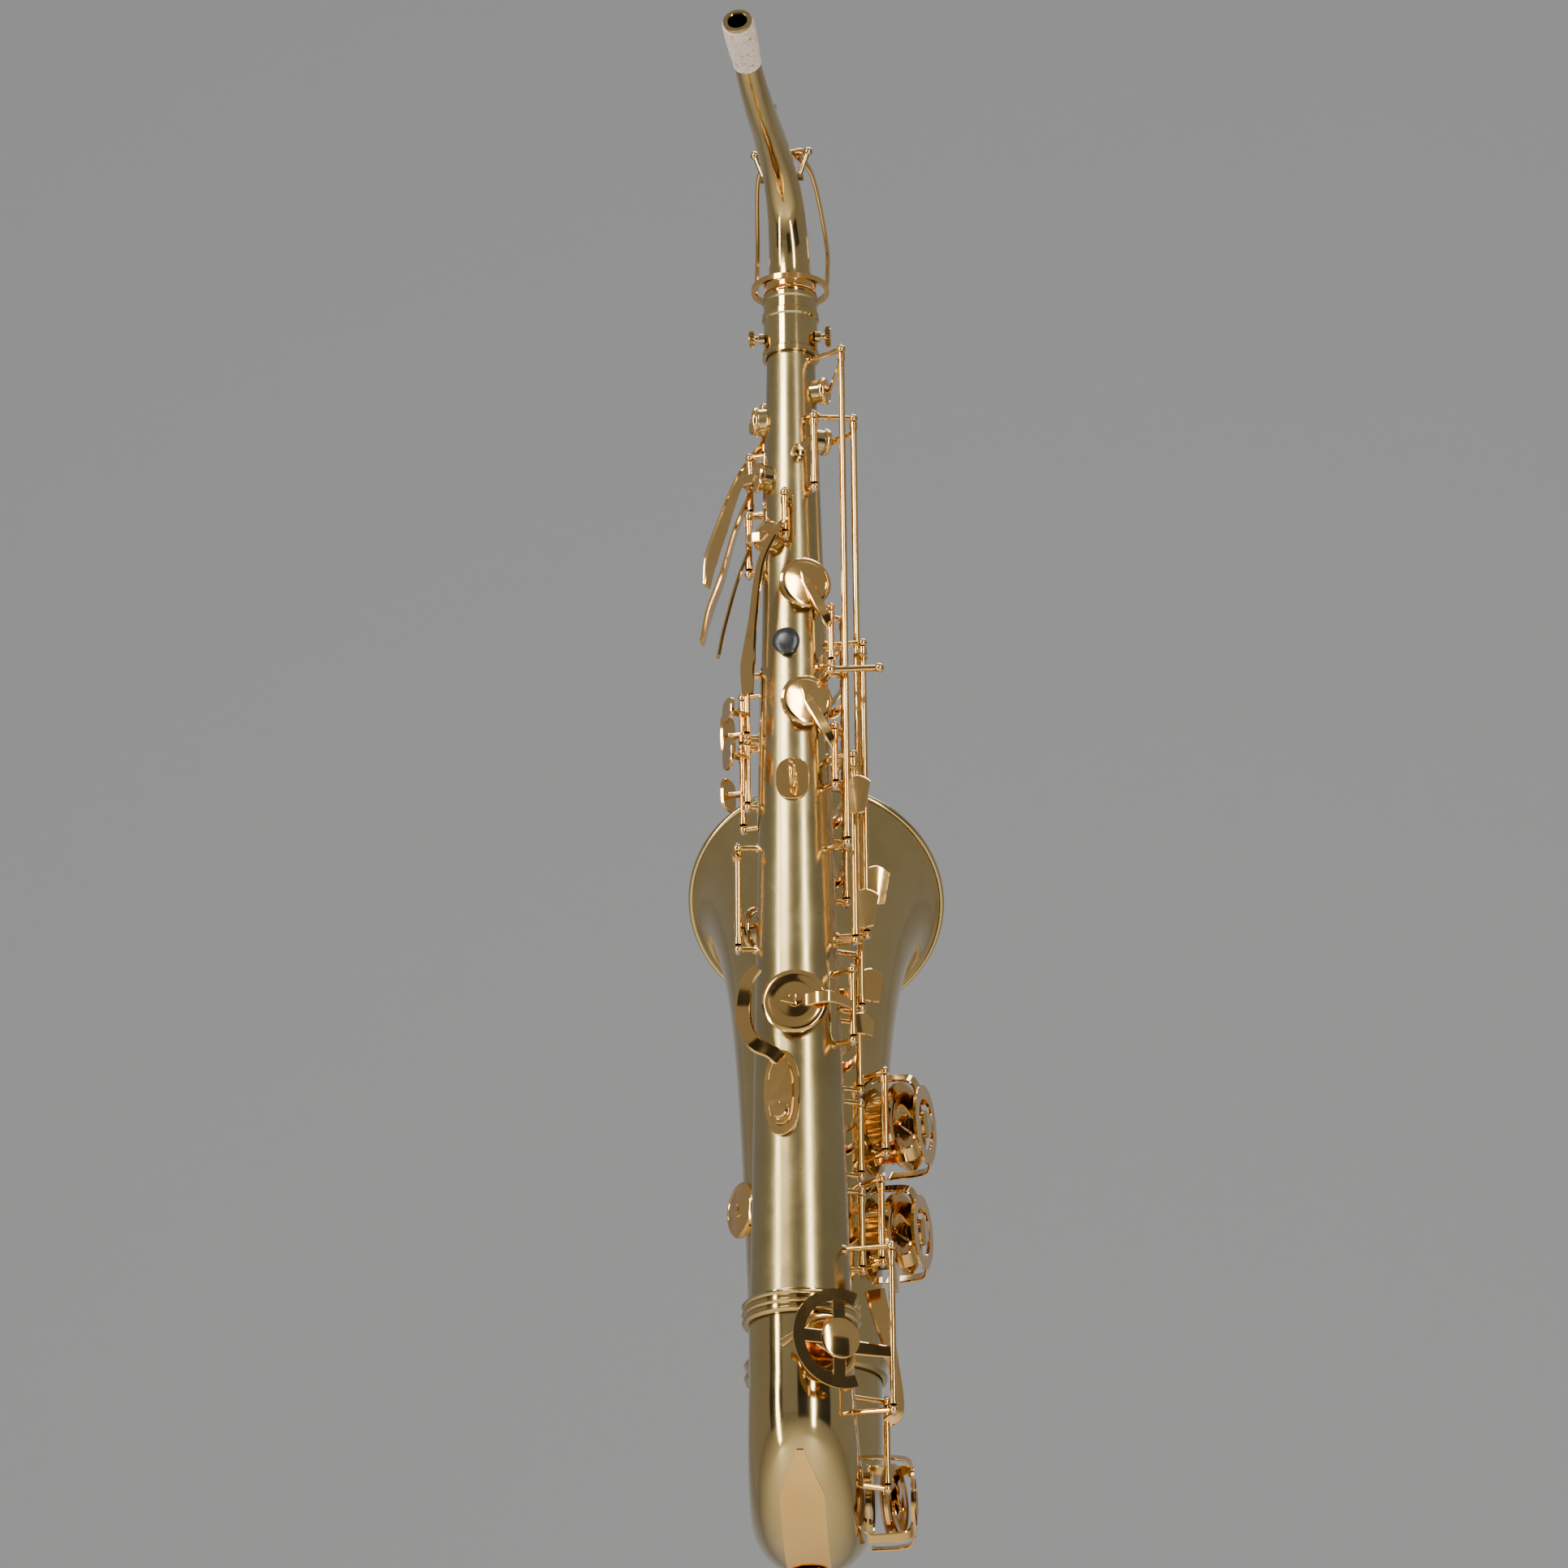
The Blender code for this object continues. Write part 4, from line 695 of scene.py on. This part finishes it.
def guard_list():
    out = []
    for nm, key, high, legs, w in (("low_bflat_guard", "low_bflat_key", 25.5, (50, 128, 232, 310), 11), ("low_b_guard", "low_b_key", 25.5, (50, 128, 232, 310), 11)):
        k = KEYS[key]
        c, n = k.cup_at, outward(78)
        out.append((nm, guard(c, n, k.pads[0][2] + 1.5, high, legs, on_bell_surface, w), c, n, high))
    return out


def STATIC():
    rows = []
    fine = [(17.6, 753.5), (16.6, 754.5), (16.6, 774.5), (17.6, 775.5), (17.6, 779), (16.6, 780), (16.6, 786.5), (17.4, 787.5)] if FINE else [(16.8, 756), (16.8, 786)]
    rows.append(("neck_receiver", [ring_turned([(15.3, 750), (17.6, 750)] + fine + [(17.4, 790), (13.1, 790), (13.1, 770.4), (15.3, 770.4)], vec(0, BODY_Y, 0), (0, 0, 1), sides(16, 96)),
                                   cyl(vec(15.5, BODY_Y - 6, 762), vec(19.0, BODY_Y - 6, 762), 3.4, sides(8, 32)),
                                   cyl(vec(-15.5, BODY_Y - 6, 762), vec(-19.0, BODY_Y - 6, 762), 3.2, sides(8, 32))], "lacquer"))
    rr = R_BODY_LOW + (GAP if FINE else 0.9)
    prof = [(rr, 134.0), (33.0, 134.0)]
    for z in (135.5, 140.5, 145.5):
        prof += [(33.0, z - 1.4), (34.6, z)] if not FINE else [(33.0, z - 1.6), (34.1, z - 1.1), (34.7, z), (34.1, z + 1.1), (33.0, z + 1.6)]
    prof += [(33.0, 147.6), (31.5, 148.4), (rr, 148.4)]
    rows.append(("body_ferrule", [ring_turned(prof, vec(0, BODY_Y, 0), (0, 0, 1), sides(20, 96))], "lacquer"))
    rb = 39.5 + 0.5
    prof = [(rb, 134.4), (42.2, 134.4), (43.2, 136.5), (42.2, 138.5), (42.2, 142.5), (43.2, 144.5), (42.2, 146.5), (rb + 0.4, 147.6)] if FINE else [(rb + 0.4, 134.4), (43.0, 134.4), (42.6, 147), (rb + 0.6, 147)]
    rows.append(("bell_ferrule", [ring_turned(prof, vec(0, BELL_Y, 0), (0, 0, 1), sides(24, 96))], "lacquer"))
    # guard strip under the bow, with its flat rest
    pts, ups = [], []
    k = sides(12, 48)
    for i in range(k + 1):
        a = math.radians(28 + 124 * i / k)
        r = BOW_R + R_BOW_BODY + (R_BOW_BELL - R_BOW_BODY) * a / math.pi + 1.35
        pts.append(vec(0, -r * math.cos(a), BOW_Z - r * math.sin(a)))
    ws = [max(3.0, 26 * min(1, 0.16 + i / (k * 0.16), 0.16 + (k - i) / (k * 0.16))) for i in range(k + 1)]
    strip = strip_along(pts, ws, 1.4, vec(0, 0, BOW_Z))
    rows.append(("bow_guard", [strip, slab(squircle(12, 16, sides(16, 48)), vec(0, 0, 0.85), (1, 0, 0), (0, 1, 0), 1.7)], "keywork"))
    # brace between body and bell: a ring with a short stem to each tube
    z = 386.0
    ya, yb = BODY_Y + body_r(z) + GAP + 0.1, 22.6
    mid = vec(0, (ya + yb) / 2, z)
    rows.append(("bell_brace", [ring_turned([(13.2, -2.0), (17.0, -2.0), (17.0, 2.0), (13.2, 2.0)], mid, (1, 0, 0), sides(18, 64)),
                                cyl(vec(0, ya + 1.6, z), mid - vec(0, 15, 0), 2.6, sides(8, 24)), cyl(mid + vec(0, 15, 0), vec(0, yb - 2.0, z), 2.6, sides(8, 24)),
                                cyl(vec(0, ya, z), vec(0, ya + 2.2, z), 6.0, sides(12, 40)), cyl(vec(0, yb - 3.4, z + 0.4), vec(0, yb - 1.2, z + 0.4), 6.0, sides(12, 40))], "keywork"))
    z = 466.0
    y = BODY_Y - body_r(z) - GAP - 0.9
    rows.append(("strap_ring", [slab(squircle(10, 13, sides(14, 48), 2.6), vec(0, y, z), (1, 0, 0), (0, 0, 1), 1.5),
                                ring_turned([(5.2, -1.6), (8.6, -1.6), (8.6, 1.6), (5.2, 1.6)] if not FINE else [(6.9 + 1.75 * math.cos(a * math.pi / 8), 1.75 * math.sin(a * math.pi / 8)) for a in range(16)],
                                            vec(0, y - 7.6, z), (1, 0, 0), sides(16, 64))], "keywork"))
    # thumb hook on its oval base
    z = 268.0
    n = outward(-16)
    t = vec(-n[1], n[0], 0)
    base = vec(0, BODY_Y, z) + n * (body_r(262) + 1.9)
    hook = [base + n * 1.5 + vec(0, 0, 20), around(293, -26, 33), around(297, -36, 39), around(307, -42, 42.5), around(321, -44, 43), around(335, -40, 42.5), around(343, -30, 41.5)]
    hk = KEYS["fsharp_trill_key"]
    rows.append(("thumb_hook", [slab(squircle(11, 26, sides(16, 64), 2.3), base, t, vec(0, 0, 1), 1.8),
                                slab(squircle(7.5, 20, sides(14, 48), 2.6), base + n * 1.7, t, vec(0, 0, 1), 2.6),
                                turned([(4.6, 0), (5.0, 0.6), (5.0, 2.4), (4.0, 3.2)], base + n * 2.4 - vec(0, 0, 12), n, sides(10, 40)),
                                bar(smooth_path(hook, sides(2, 8)), spread([9, 9, 9, 9, 9, 8, 6], 7, sides(2, 8)), 2.6, vec(0.0, 0.0, 0.0) + unit(n + vec(0.3, 0, 0)))], "keywork"))
    z = 555.0
    n = outward(-8)
    rows.append(("left_thumb_rest", [turned([(7.5, 0), (8.2, 0.8), (8.2, 3.6), (6.5, 5.0), (3.0, 5.6)], around(z, -8, body_r(z) + GAP + 0.2), n, sides(12, 48))], "resin"))
    for nm, pieces, c, n, high in guard_list():
        rows.append((nm, pieces, "keywork"))
        rows.append((nm.replace("_guard", "_felt"), [turned([(5.6, 0), (6.0, 0.4), (6.0, 3.2), (5.6, 3.6)], c + n * (high - 1.6 - 3.9), n, sides(10, 40))], "felt"))
    # low C guard on the bow, and the half-moon guard round the low E flat cup
    rows.append(("low_c_guard", guard(vec(34.6, 3, 44), vec(1, 0, 0), 24.5, 26.0, (60, 118, 242, 300), on_bow_surface, 9), "keywork"))
    rows.append(("low_eflat_guard", moon_guard(), "keywork"))
    z = 532.0
    foot = around(z, 58, body_r(z) + 1.5)
    rows.append(("side_rod_bracket", [cyl(foot, vec(24, -90, z), 2.2, sides(8, 24)), ball(vec(24, -90, z), 3.2), cyl(vec(24, -90, z), vec(53, -90, z), 1.9, sides(8, 24)), ball(vec(53, -90, z), 3.0)], "keywork"))
    return rows


def strip_along(pts, widths, thick, centre):
    rings = []
    for i, (p, w) in enumerate(zip(pts, widths)):
        v = unit(centre * vec(0, 1, 1) - p)
        u = vec(1, 0, 0)
        rings.append(np.array([p + u * a + v * b for a, b in ((w / 2, thick / 2), (-w / 2, thick / 2), (-w / 2, -thick / 2), (w / 2, -thick / 2))]))
    return skin(rings)


def moon_guard():
    """Half-moon sheet guard over the low E flat cup, with a round boss and two windows."""
    n = outward(28)
    t = unit(np.cross(vec(0, 0, 1), n))
    c = vec(0, BODY_Y, 112) + n * (30.6 + 24.0)
    b = vec(0, 0, 1)
    out = [turned([(11.5, -0.9), (12.0, -0.3), (12.0, 0.8), (11.0, 1.4)], c, n, sides(16, 64))]
    arc = []
    m = sides(8, 40)
    for i in range(m + 1):
        a = math.radians(68 + 224 * i / m)
        arc.append(c + (t * math.cos(a) + b * math.sin(a)) * 26.0)
    out.append(flat_loop(arc, n, 7.0, 1.5))
    for a in (92, 180, 268):
        d = t * math.cos(math.radians(a)) + b * math.sin(math.radians(a))
        out.append(bar([c + d * 9, c + d * 26], [8, 8], 1.2, n))
    for a in (72, 180, 288):
        d = t * math.cos(math.radians(a)) + b * math.sin(math.radians(a))
        top = c + d * 27.0
        out.append(cyl(top + n * 0.4, top - n * (11.5 + (8.0 if a == 180 else -0.5)), 2.2, sides(8, 24)))
    return out


def flat_loop(pts, n, width, thick):
    rings = []
    m = len(pts)
    for i, p in enumerate(pts):
        t = unit(pts[min(i + 1, m - 1)] - pts[max(i - 1, 0)])
        u = np.cross(t, n)
        rings.append(np.array([p + u * a + n * b for a, b in ((width / 2, thick / 2), (-width / 2, thick / 2), (-width / 2, -thick / 2), (width / 2, -thick / 2))]))
    return skin(rings)


def screw_mesh(x):
    """Thumb screw whose head turns about X, outside the receiver's lug."""
    s = 1 if x > 0 else -1
    c = vec(s * 19.4, BODY_Y - 6, 762)
    r = 6.5 if s > 0 else 5.2
    return [turned([(1.8, 0), (1.8, 2.2), (r * 0.92, 2.2), (r, 2.8), (r, 5.4), (r * 0.92, 6.0)], c, (s, 0, 0), sides(12, 48))]


# ---------------------------------------------------------------- materials
def new_mat(name):
    m = bpy.data.materials.new(name)
    m.use_nodes = True
    nt = m.node_tree
    b = nt.nodes["Principled BSDF"]
    return m, nt, b


def node(nt, kind, **kw):
    n = nt.nodes.new(kind)
    for k, v in kw.items():
        setattr(n, k, v)
    return n


def ramp(nt, src, stops):
    r = node(nt, "ShaderNodeValToRGB")
    nt.links.new(src, r.inputs["Fac"])
    e = r.color_ramp.elements
    e[0].position, e[0].color = stops[0][0], (*stops[0][1], 1)
    e[1].position, e[1].color = stops[-1][0], (*stops[-1][1], 1)
    for p, c in stops[1:-1]:
        x = e.new(p)
        x.color = (*c, 1)
    return r


def noise(nt, scale, detail=4.0, rough=0.5, stretch=(1, 1, 1), distortion=0.0):
    tc = node(nt, "ShaderNodeTexCoord")
    mp = node(nt, "ShaderNodeMapping")
    mp.inputs["Scale"].default_value = stretch
    nt.links.new(tc.outputs["Object"], mp.inputs["Vector"])
    n = node(nt, "ShaderNodeTexNoise")
    n.inputs["Scale"].default_value = scale
    n.inputs["Detail"].default_value = detail
    n.inputs["Roughness"].default_value = rough
    n.inputs["Distortion"].default_value = distortion
    nt.links.new(mp.outputs["Vector"], n.inputs["Vector"])
    return n


def span(nt, src, lo, hi):
    m = node(nt, "ShaderNodeMapRange")
    m.inputs["From Min"].default_value = 0.25
    m.inputs["From Max"].default_value = 0.75
    m.inputs["To Min"].default_value = lo
    m.inputs["To Max"].default_value = hi
    nt.links.new(src, m.inputs["Value"])
    return m.outputs["Result"]


def bump(nt, b, parts):
    """parts are (height output, strength, distance in metres), laid over each other."""
    last = None
    for src, strength, dist in parts:
        bp = node(nt, "ShaderNodeBump")
        bp.inputs["Strength"].default_value = strength
        bp.inputs["Distance"].default_value = dist
        nt.links.new(src, bp.inputs["Height"])
        if last is not None:
            nt.links.new(last, bp.inputs["Normal"])
        last = bp.outputs["Normal"]
    nt.links.new(last, b.inputs["Normal"])


def brass(name, dark, mid, light, r_lo, r_hi, streak=(1, 1, 0.03), streak_strength=0.1, coat=0.35):
    m, nt, b = new_mat(name)
    b.inputs["Metallic"].default_value = 1.0
    b.inputs["Coat Weight"].default_value = coat
    b.inputs["Coat Roughness"].default_value = 0.08
    clouds = noise(nt, 9.0, 5.0, 0.6, distortion=0.6)
    fine = noise(nt, 900.0, 3.0, 0.6, stretch=streak)
    spots = noise(nt, 160.0, 6.0, 0.7)
    tone = ramp(nt, clouds.outputs["Fac"], ((0.3, dark), (0.5, mid), (0.72, light)))
    tarnish = ramp(nt, spots.outputs["Fac"], ((0.60, (1, 1, 1)), (0.76, (0.66, 0.58, 0.48))))
    mix = node(nt, "ShaderNodeMix", data_type="RGBA", blend_type="MULTIPLY")
    mix.inputs[0].default_value = 0.5
    nt.links.new(tone.outputs["Color"], mix.inputs[6])
    nt.links.new(tarnish.outputs["Color"], mix.inputs[7])
    nt.links.new(mix.outputs[2], b.inputs["Base Color"])
    smear = noise(nt, 38.0, 6.0, 0.65, distortion=0.8)
    nt.links.new(span(nt, smear.outputs["Fac"], r_lo, r_hi), b.inputs["Roughness"])
    bump(nt, b, ((fine.outputs["Fac"], streak_strength, 0.00004), (clouds.outputs["Fac"], 0.05, 0.0006)))
    return m


def soft(name, dark, light, scale, rough, bump_strength, dist, speck=None, sheen=0.0):
    m, nt, b = new_mat(name)
    n1 = noise(nt, scale, 6.0, 0.65)
    n2 = noise(nt, scale * 5, 4.0, 0.6)
    stops = [(0.3, dark), (0.7, light)] if speck is None else [(0.33, speck), (0.42, dark), (0.7, light)]
    tone = ramp(nt, n1.outputs["Fac"], stops)
    nt.links.new(tone.outputs["Color"], b.inputs["Base Color"])
    nt.links.new(span(nt, n2.outputs["Fac"], rough - 0.1, min(rough + 0.1, 1.0)), b.inputs["Roughness"])
    if sheen:
        b.inputs["Sheen Weight"].default_value = sheen
    bump(nt, b, ((n1.outputs["Fac"], bump_strength, dist), (n2.outputs["Fac"], bump_strength * 0.7, dist * 0.4)))
    return m


M = {
    # body tube lacquer: a rougher finish, with its base colour darkened as painted shade for the dark surroundings it
    # reflects
    "satin_painted_shade": brass("lacquer_satin_painted_shade", (0.40, 0.295, 0.115), (0.46, 0.345, 0.145), (0.53, 0.405, 0.18), 0.19, 0.30, streak_strength=0.35, coat=0.2),
    "polished": brass("lacquer_polished", (0.53, 0.37, 0.13), (0.60, 0.43, 0.165), (0.67, 0.49, 0.21), 0.06, 0.15, streak_strength=0.05),
    "keys": brass("keywork_gold", (0.74, 0.42, 0.11), (0.81, 0.48, 0.145), (0.88, 0.56, 0.19), 0.05, 0.14, streak=(1, 1, 1), streak_strength=0.05),
    "cork": soft("neck_cork", (0.62, 0.47, 0.36), (0.80, 0.67, 0.54), 420.0, 0.85, 0.6, 0.0004, speck=(0.16, 0.09, 0.06)),
    "felt": soft("black_felt", (0.012, 0.012, 0.013), (0.05, 0.05, 0.052), 900.0, 0.95, 0.8, 0.0004, sheen=0.5),
    "leather": soft("pad_leather", (0.28, 0.15, 0.07), (0.46, 0.28, 0.14), 260.0, 0.55, 0.35, 0.0002),
    "pearl": soft("finger_pearl", (0.70, 0.72, 0.70), (0.90, 0.88, 0.86), 130.0, 0.18, 0.05, 0.0001),
    "resin": soft("black_resin", (0.010, 0.010, 0.011), (0.03, 0.03, 0.03), 300.0, 0.3, 0.1, 0.0001),
    "steel": soft("blued_steel", (0.10, 0.11, 0.14), (0.22, 0.23, 0.27), 500.0, 0.3, 0.1, 0.00005),
    "dark": soft("bore_shadow", (0.03, 0.022, 0.012), (0.08, 0.055, 0.025), 90.0, 0.6, 0.1, 0.0002),
}


# ---------------------------------------------------------------- pieces
def piece(name, groups, body, node_names=()):
    """One piece from (meshes, material) groups, riding on a body and standing for CAD nodes."""
    data = bpy.data.meshes.new(name)
    verts, faces, mats, index = [], [], [], []
    for meshes, mat in groups:
        if mat not in mats:
            mats.append(mat)
        for v, f in meshes:
            base = len(verts)
            verts.extend([tuple(p * MM) for p in v])
            for q in f:
                faces.append(tuple(i + base for i in q))
                index.append(mats.index(mat))
    data.from_pydata(verts, [], faces)
    for mat in mats:
        data.materials.append(M[mat])
    data.polygons.foreach_set("material_index", index)
    data.update()
    data.shade_smooth()
    data.set_sharp_from_angle(angle=math.radians(38))
    obj = bpy.data.objects.new(name, data)
    bpy.context.scene.collection.objects.link(obj)
    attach(obj, body)
    if node_names:
        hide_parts(*node_names)
    return obj


def chimney_fine(c, n, r, tube):
    """A tone hole's wall with a rolled lip, and its shadowed floor."""
    deep = tube - math.sqrt(max(tube * tube - (r + 1) ** 2, 1.0)) + 0.8
    wall = ring_turned([(r, -deep), (r + 1.0, -deep), (r + 1.0, CHIMNEY - 0.8), (r + 1.35, CHIMNEY - 0.5), (r + 1.35, CHIMNEY - 0.1), (r + 1.0, CHIMNEY), (r + 0.2, CHIMNEY), (r, CHIMNEY - 0.3)], c, n, 48)
    floor = turned([(r + 0.3, -deep * 0.1), (r + 0.3, 0.15)], c, n, 48)
    return wall, floor


def pivot_screws(key):
    """Screw heads on the outer side of each post."""
    out = []
    d = key.axis
    for p, s in ((key.low, -1), (key.high, 1)):
        out.append(turned([(1.3, 0), (1.3, 0.9), (0.9, 1.2)], p + d * s * 2.3, d * s, 16))
    return out


def rib_plate(z0, z1, phi, r0):
    """A thin strap soldered along the tube under a row of posts."""
    pts = [around(z0 + (z1 - z0) * i / 12, phi, body_r(z0 + (z1 - z0) * i / 12) + 0.25) for i in range(13)]
    return bar(pts, [2.5] + [7.0] * 11 + [2.5], 0.9, outward(phi))


rest_body = "body"

# keys with their pads and finger pearls
for name, key in KEYS.items():
    screws = pivot_screws(key)
    groups = [([key.posed(p) for p in key.pieces], "keys")]
    for mesh, mat in key.extras:
        groups.append(([key.posed(mesh)], mat))
    piece(name + "_fine", groups, name + "_body", (name,))
    if key.pad is not None:
        piece(name.replace("_key", "_pad_fine"), [([key.posed(key.pad)], "leather")], name + "_body", (name.replace("_key", "_pad"),))

# body tube, drawn with chimneys, ribs, posts and pivot screws
pts, rad = body_shell()
shell = pipe(pts, rad, [r - WALL for r in rad], 128)
walls, floors = [], []
for c, n, r in TONE:
    w, f = chimney_fine(c, n, r, body_r(c[2]))
    walls.append(w)
    floors.append(f)
screws = []
for key in KEYS.values():
    if key.name != "neck_octave_key":
        screws += pivot_screws(key)
ribs = [rib_plate(395, 590, 118, 0), rib_plate(166, 374, 118, 0), rib_plate(600, 652, -78, 0), rib_plate(440, 545, -78, 0), rib_plate(440, 538, -108, 0), rib_plate(645, 695, -104, 0),
        rib_plate(618, 656, -6, 0), rib_plate(465, 513, 52, 0), rib_plate(543, 590, 52, 0), rib_plate(302, 358, 58, 0)]
# the shell takes the rougher lacquer whose base colour is darkened as painted shade
piece("body_tube_fine", [([shell], "satin_painted_shade"), (walls, "polished"), (floors, "dark"), (POSTS["body_tube"], "keys"), (ribs, "polished"), (screws, "steel")], rest_body, ("body_tube",))


def flank(tones, tube):
    w, f = [], []
    for c, n, r in tones:
        a, b = chimney_fine(c, n, r, tube)
        w.append(a)
        f.append(b)
    return w, f


w, f = flank(BOW_TONE, 33.0)
piece("bow_fine", [([bow_mesh()], "polished"), (w, "polished"), (f, "dark"), (POSTS["bow"], "keys")], rest_body, ("bow",))
w, f = flank(BELL_TONE, 41.0)
piece("bell_fine", [([bell_mesh()], "polished"), (w, "polished"), (f, "dark"), (POSTS["bell"], "keys")], rest_body, ("bell",))
piece("bell_rim_fine", [([rim_mesh()], "polished")], rest_body, ("bell_rim",))
LOOK = {"lacquer": "polished", "keywork": "keys", "felt": "felt", "resin": "resin"}
for name, meshes, slot_name in STATIC():
    piece(name + "_fine", [(meshes, LOOK[slot_name])], rest_body, (name,))

# neck
meshes, end, out_dir = neck_tube_meshes()
piece("neck_tube_fine", [(meshes, "polished")], "neck", ("neck_tube",))
piece("neck_cork_fine", [([cork_mesh()], "cork")], "neck", ("neck_cork",))
piece("neck_collar_fine", [([ring_turned([(14.6, 790.5), (16.2, 790.5), (16.4, 790.8), (16.4, 793.6), (16.1, 794.1), (15.4, 794.6), (15.4, 799), (16.1, 799.6), (16.3, 800.8), (16.0, 802), (14.9, 802)], vec(0, BODY_Y, 0), (0, 0, 1), 96)], "keys")], "neck", ("neck_collar",))


def knurled(x):
    """Thumb screw with a ring of grip teeth."""
    s = 1 if x > 0 else -1
    r = 6.5 if s > 0 else 5.2
    c = vec(s * 19.4, BODY_Y - 6, 762)
    out = [turned([(1.8, 0), (1.8, 2.2), (r * 0.80, 2.3), (r * 0.88, 2.8), (r * 0.88, 5.2), (r * 0.80, 5.8), (r * 0.4, 5.6)], c, (s, 0, 0), 48)]
    for i in range(22):
        a = 2 * math.pi * i / 22
        p = c + vec(s * 2.8, r * 0.88 * math.cos(a), r * 0.88 * math.sin(a))
        out.append(cyl(p, p + vec(s * 2.5, 0, 0), r * 0.11, 8))
    return out


piece("neck_clamp_screw_fine", [(knurled(1), "keys")], "neck_clamp_screw_body", ("neck_clamp_screw",))
piece("lyre_screw_fine", [(knurled(-1), "keys")], "lyre_screw_body", ("lyre_screw",))


# ---------------------------------------------------------------- stage, light and camera
def stage_plane(name, size, loc, rot, colour, rough=0.7):
    bm = bmesh.new()
    bmesh.ops.create_grid(bm, x_segments=2, y_segments=2, size=size / 2)
    data = bpy.data.meshes.new(name)
    bm.to_mesh(data)
    bm.free()
    obj = bpy.data.objects.new(name, data)
    obj.location, obj.rotation_euler = loc, rot
    bpy.context.scene.collection.objects.link(obj)
    m, nt, b = new_mat(name + "_paint")
    b.inputs["Base Color"].default_value = (*colour, 1)
    b.inputs["Roughness"].default_value = rough
    data.materials.append(m)
    return obj


stage_plane("floor", 14.0, (0, 0, -1.05), (0, 0, 0), (0.72, 0.71, 0.69))
stage_plane("backdrop", 16.0, (0, 6.9, 4.0), (math.radians(90), 0, 0), (0.74, 0.73, 0.71))

# tall grey flags beside and behind the view, which give the polished metal its dark bands
for i, (x, y, turn_z) in enumerate(((-2.9, -2.2, -52), (2.9, -2.4, 50), (0.9, -4.4, 0))):
    flag = stage_plane(f"flag_{i}", 2.0 if i < 2 else 2.6, (x, y, 0.3), (math.radians(90), 0, math.radians(turn_z)), (0.03, 0.033, 0.04))
    flag.visible_camera = False
    flag.visible_shadow = False
    flag.visible_diffuse = False

world = bpy.data.worlds.new("studio")
bpy.context.scene.world = world
world.use_nodes = True
bg = world.node_tree.nodes["Background"]
bg.inputs["Color"].default_value = (0.80, 0.82, 0.86, 1)
bg.inputs["Strength"].default_value = 0.36


def area(name, loc, target, size, power, colour=(1, 1, 1), size_y=None):
    lamp = bpy.data.lights.new(name, "AREA")
    lamp.energy, lamp.color, lamp.size = power, colour, size
    if size_y:
        lamp.shape, lamp.size_y = "RECTANGLE", size_y
    obj = bpy.data.objects.new(name, lamp)
    d = mathutils.Vector(target) - mathutils.Vector(loc)
    obj.location = loc
    obj.rotation_euler = d.to_track_quat("-Z", "Y").to_euler()
    bpy.context.scene.collection.objects.link(obj)


area("key_light", (-1.4, -2.2, 2.0), (0, 0, 0.45), 0.9, 62, (1.0, 0.97, 0.92))
area("right_strip", (1.1, -2.1, 0.5), (0, 0, 0.45), 0.22, 44, (1, 1, 1), 2.4)
area("left_strip", (-1.7, -1.5, 0.3), (0, 0, 0.45), 0.2, 36, (1, 1, 1), 2.4)
area("top_light", (0.2, 0.6, 2.6), (0, 0, 0.5), 1.6, 50, (1, 1, 1))


def camera(az, el, roll, dist, f_px, target):
    a, e, r = math.radians(az), math.radians(el), math.radians(roll)
    fwd = vec(-math.sin(a) * math.cos(e), math.cos(a) * math.cos(e), -math.sin(e))
    right = vec(math.cos(a), math.sin(a), 0)
    up = np.cross(right, fwd)
    right, up = right * math.cos(r) + up * math.sin(r), -right * math.sin(r) + up * math.cos(r)
    cam = bpy.data.cameras.new("view")
    cam.sensor_width = 36.0
    cam.lens = f_px / 1932 * 36.0
    cam.clip_end = 50
    obj = bpy.data.objects.new("view", cam)
    pos = np.asarray(target, float) - fwd * dist
    rows = np.eye(4)
    rows[:3, 0], rows[:3, 1], rows[:3, 2], rows[:3, 3] = right, up, -fwd, pos * MM
    obj.matrix_world = mathutils.Matrix(rows.tolist())
    bpy.context.scene.collection.objects.link(obj)
    bpy.context.scene.camera = obj


camera(4.2, -21.1, -0.57, 4015.0, 8180.0, (-9.8, -20.0, 487.0))
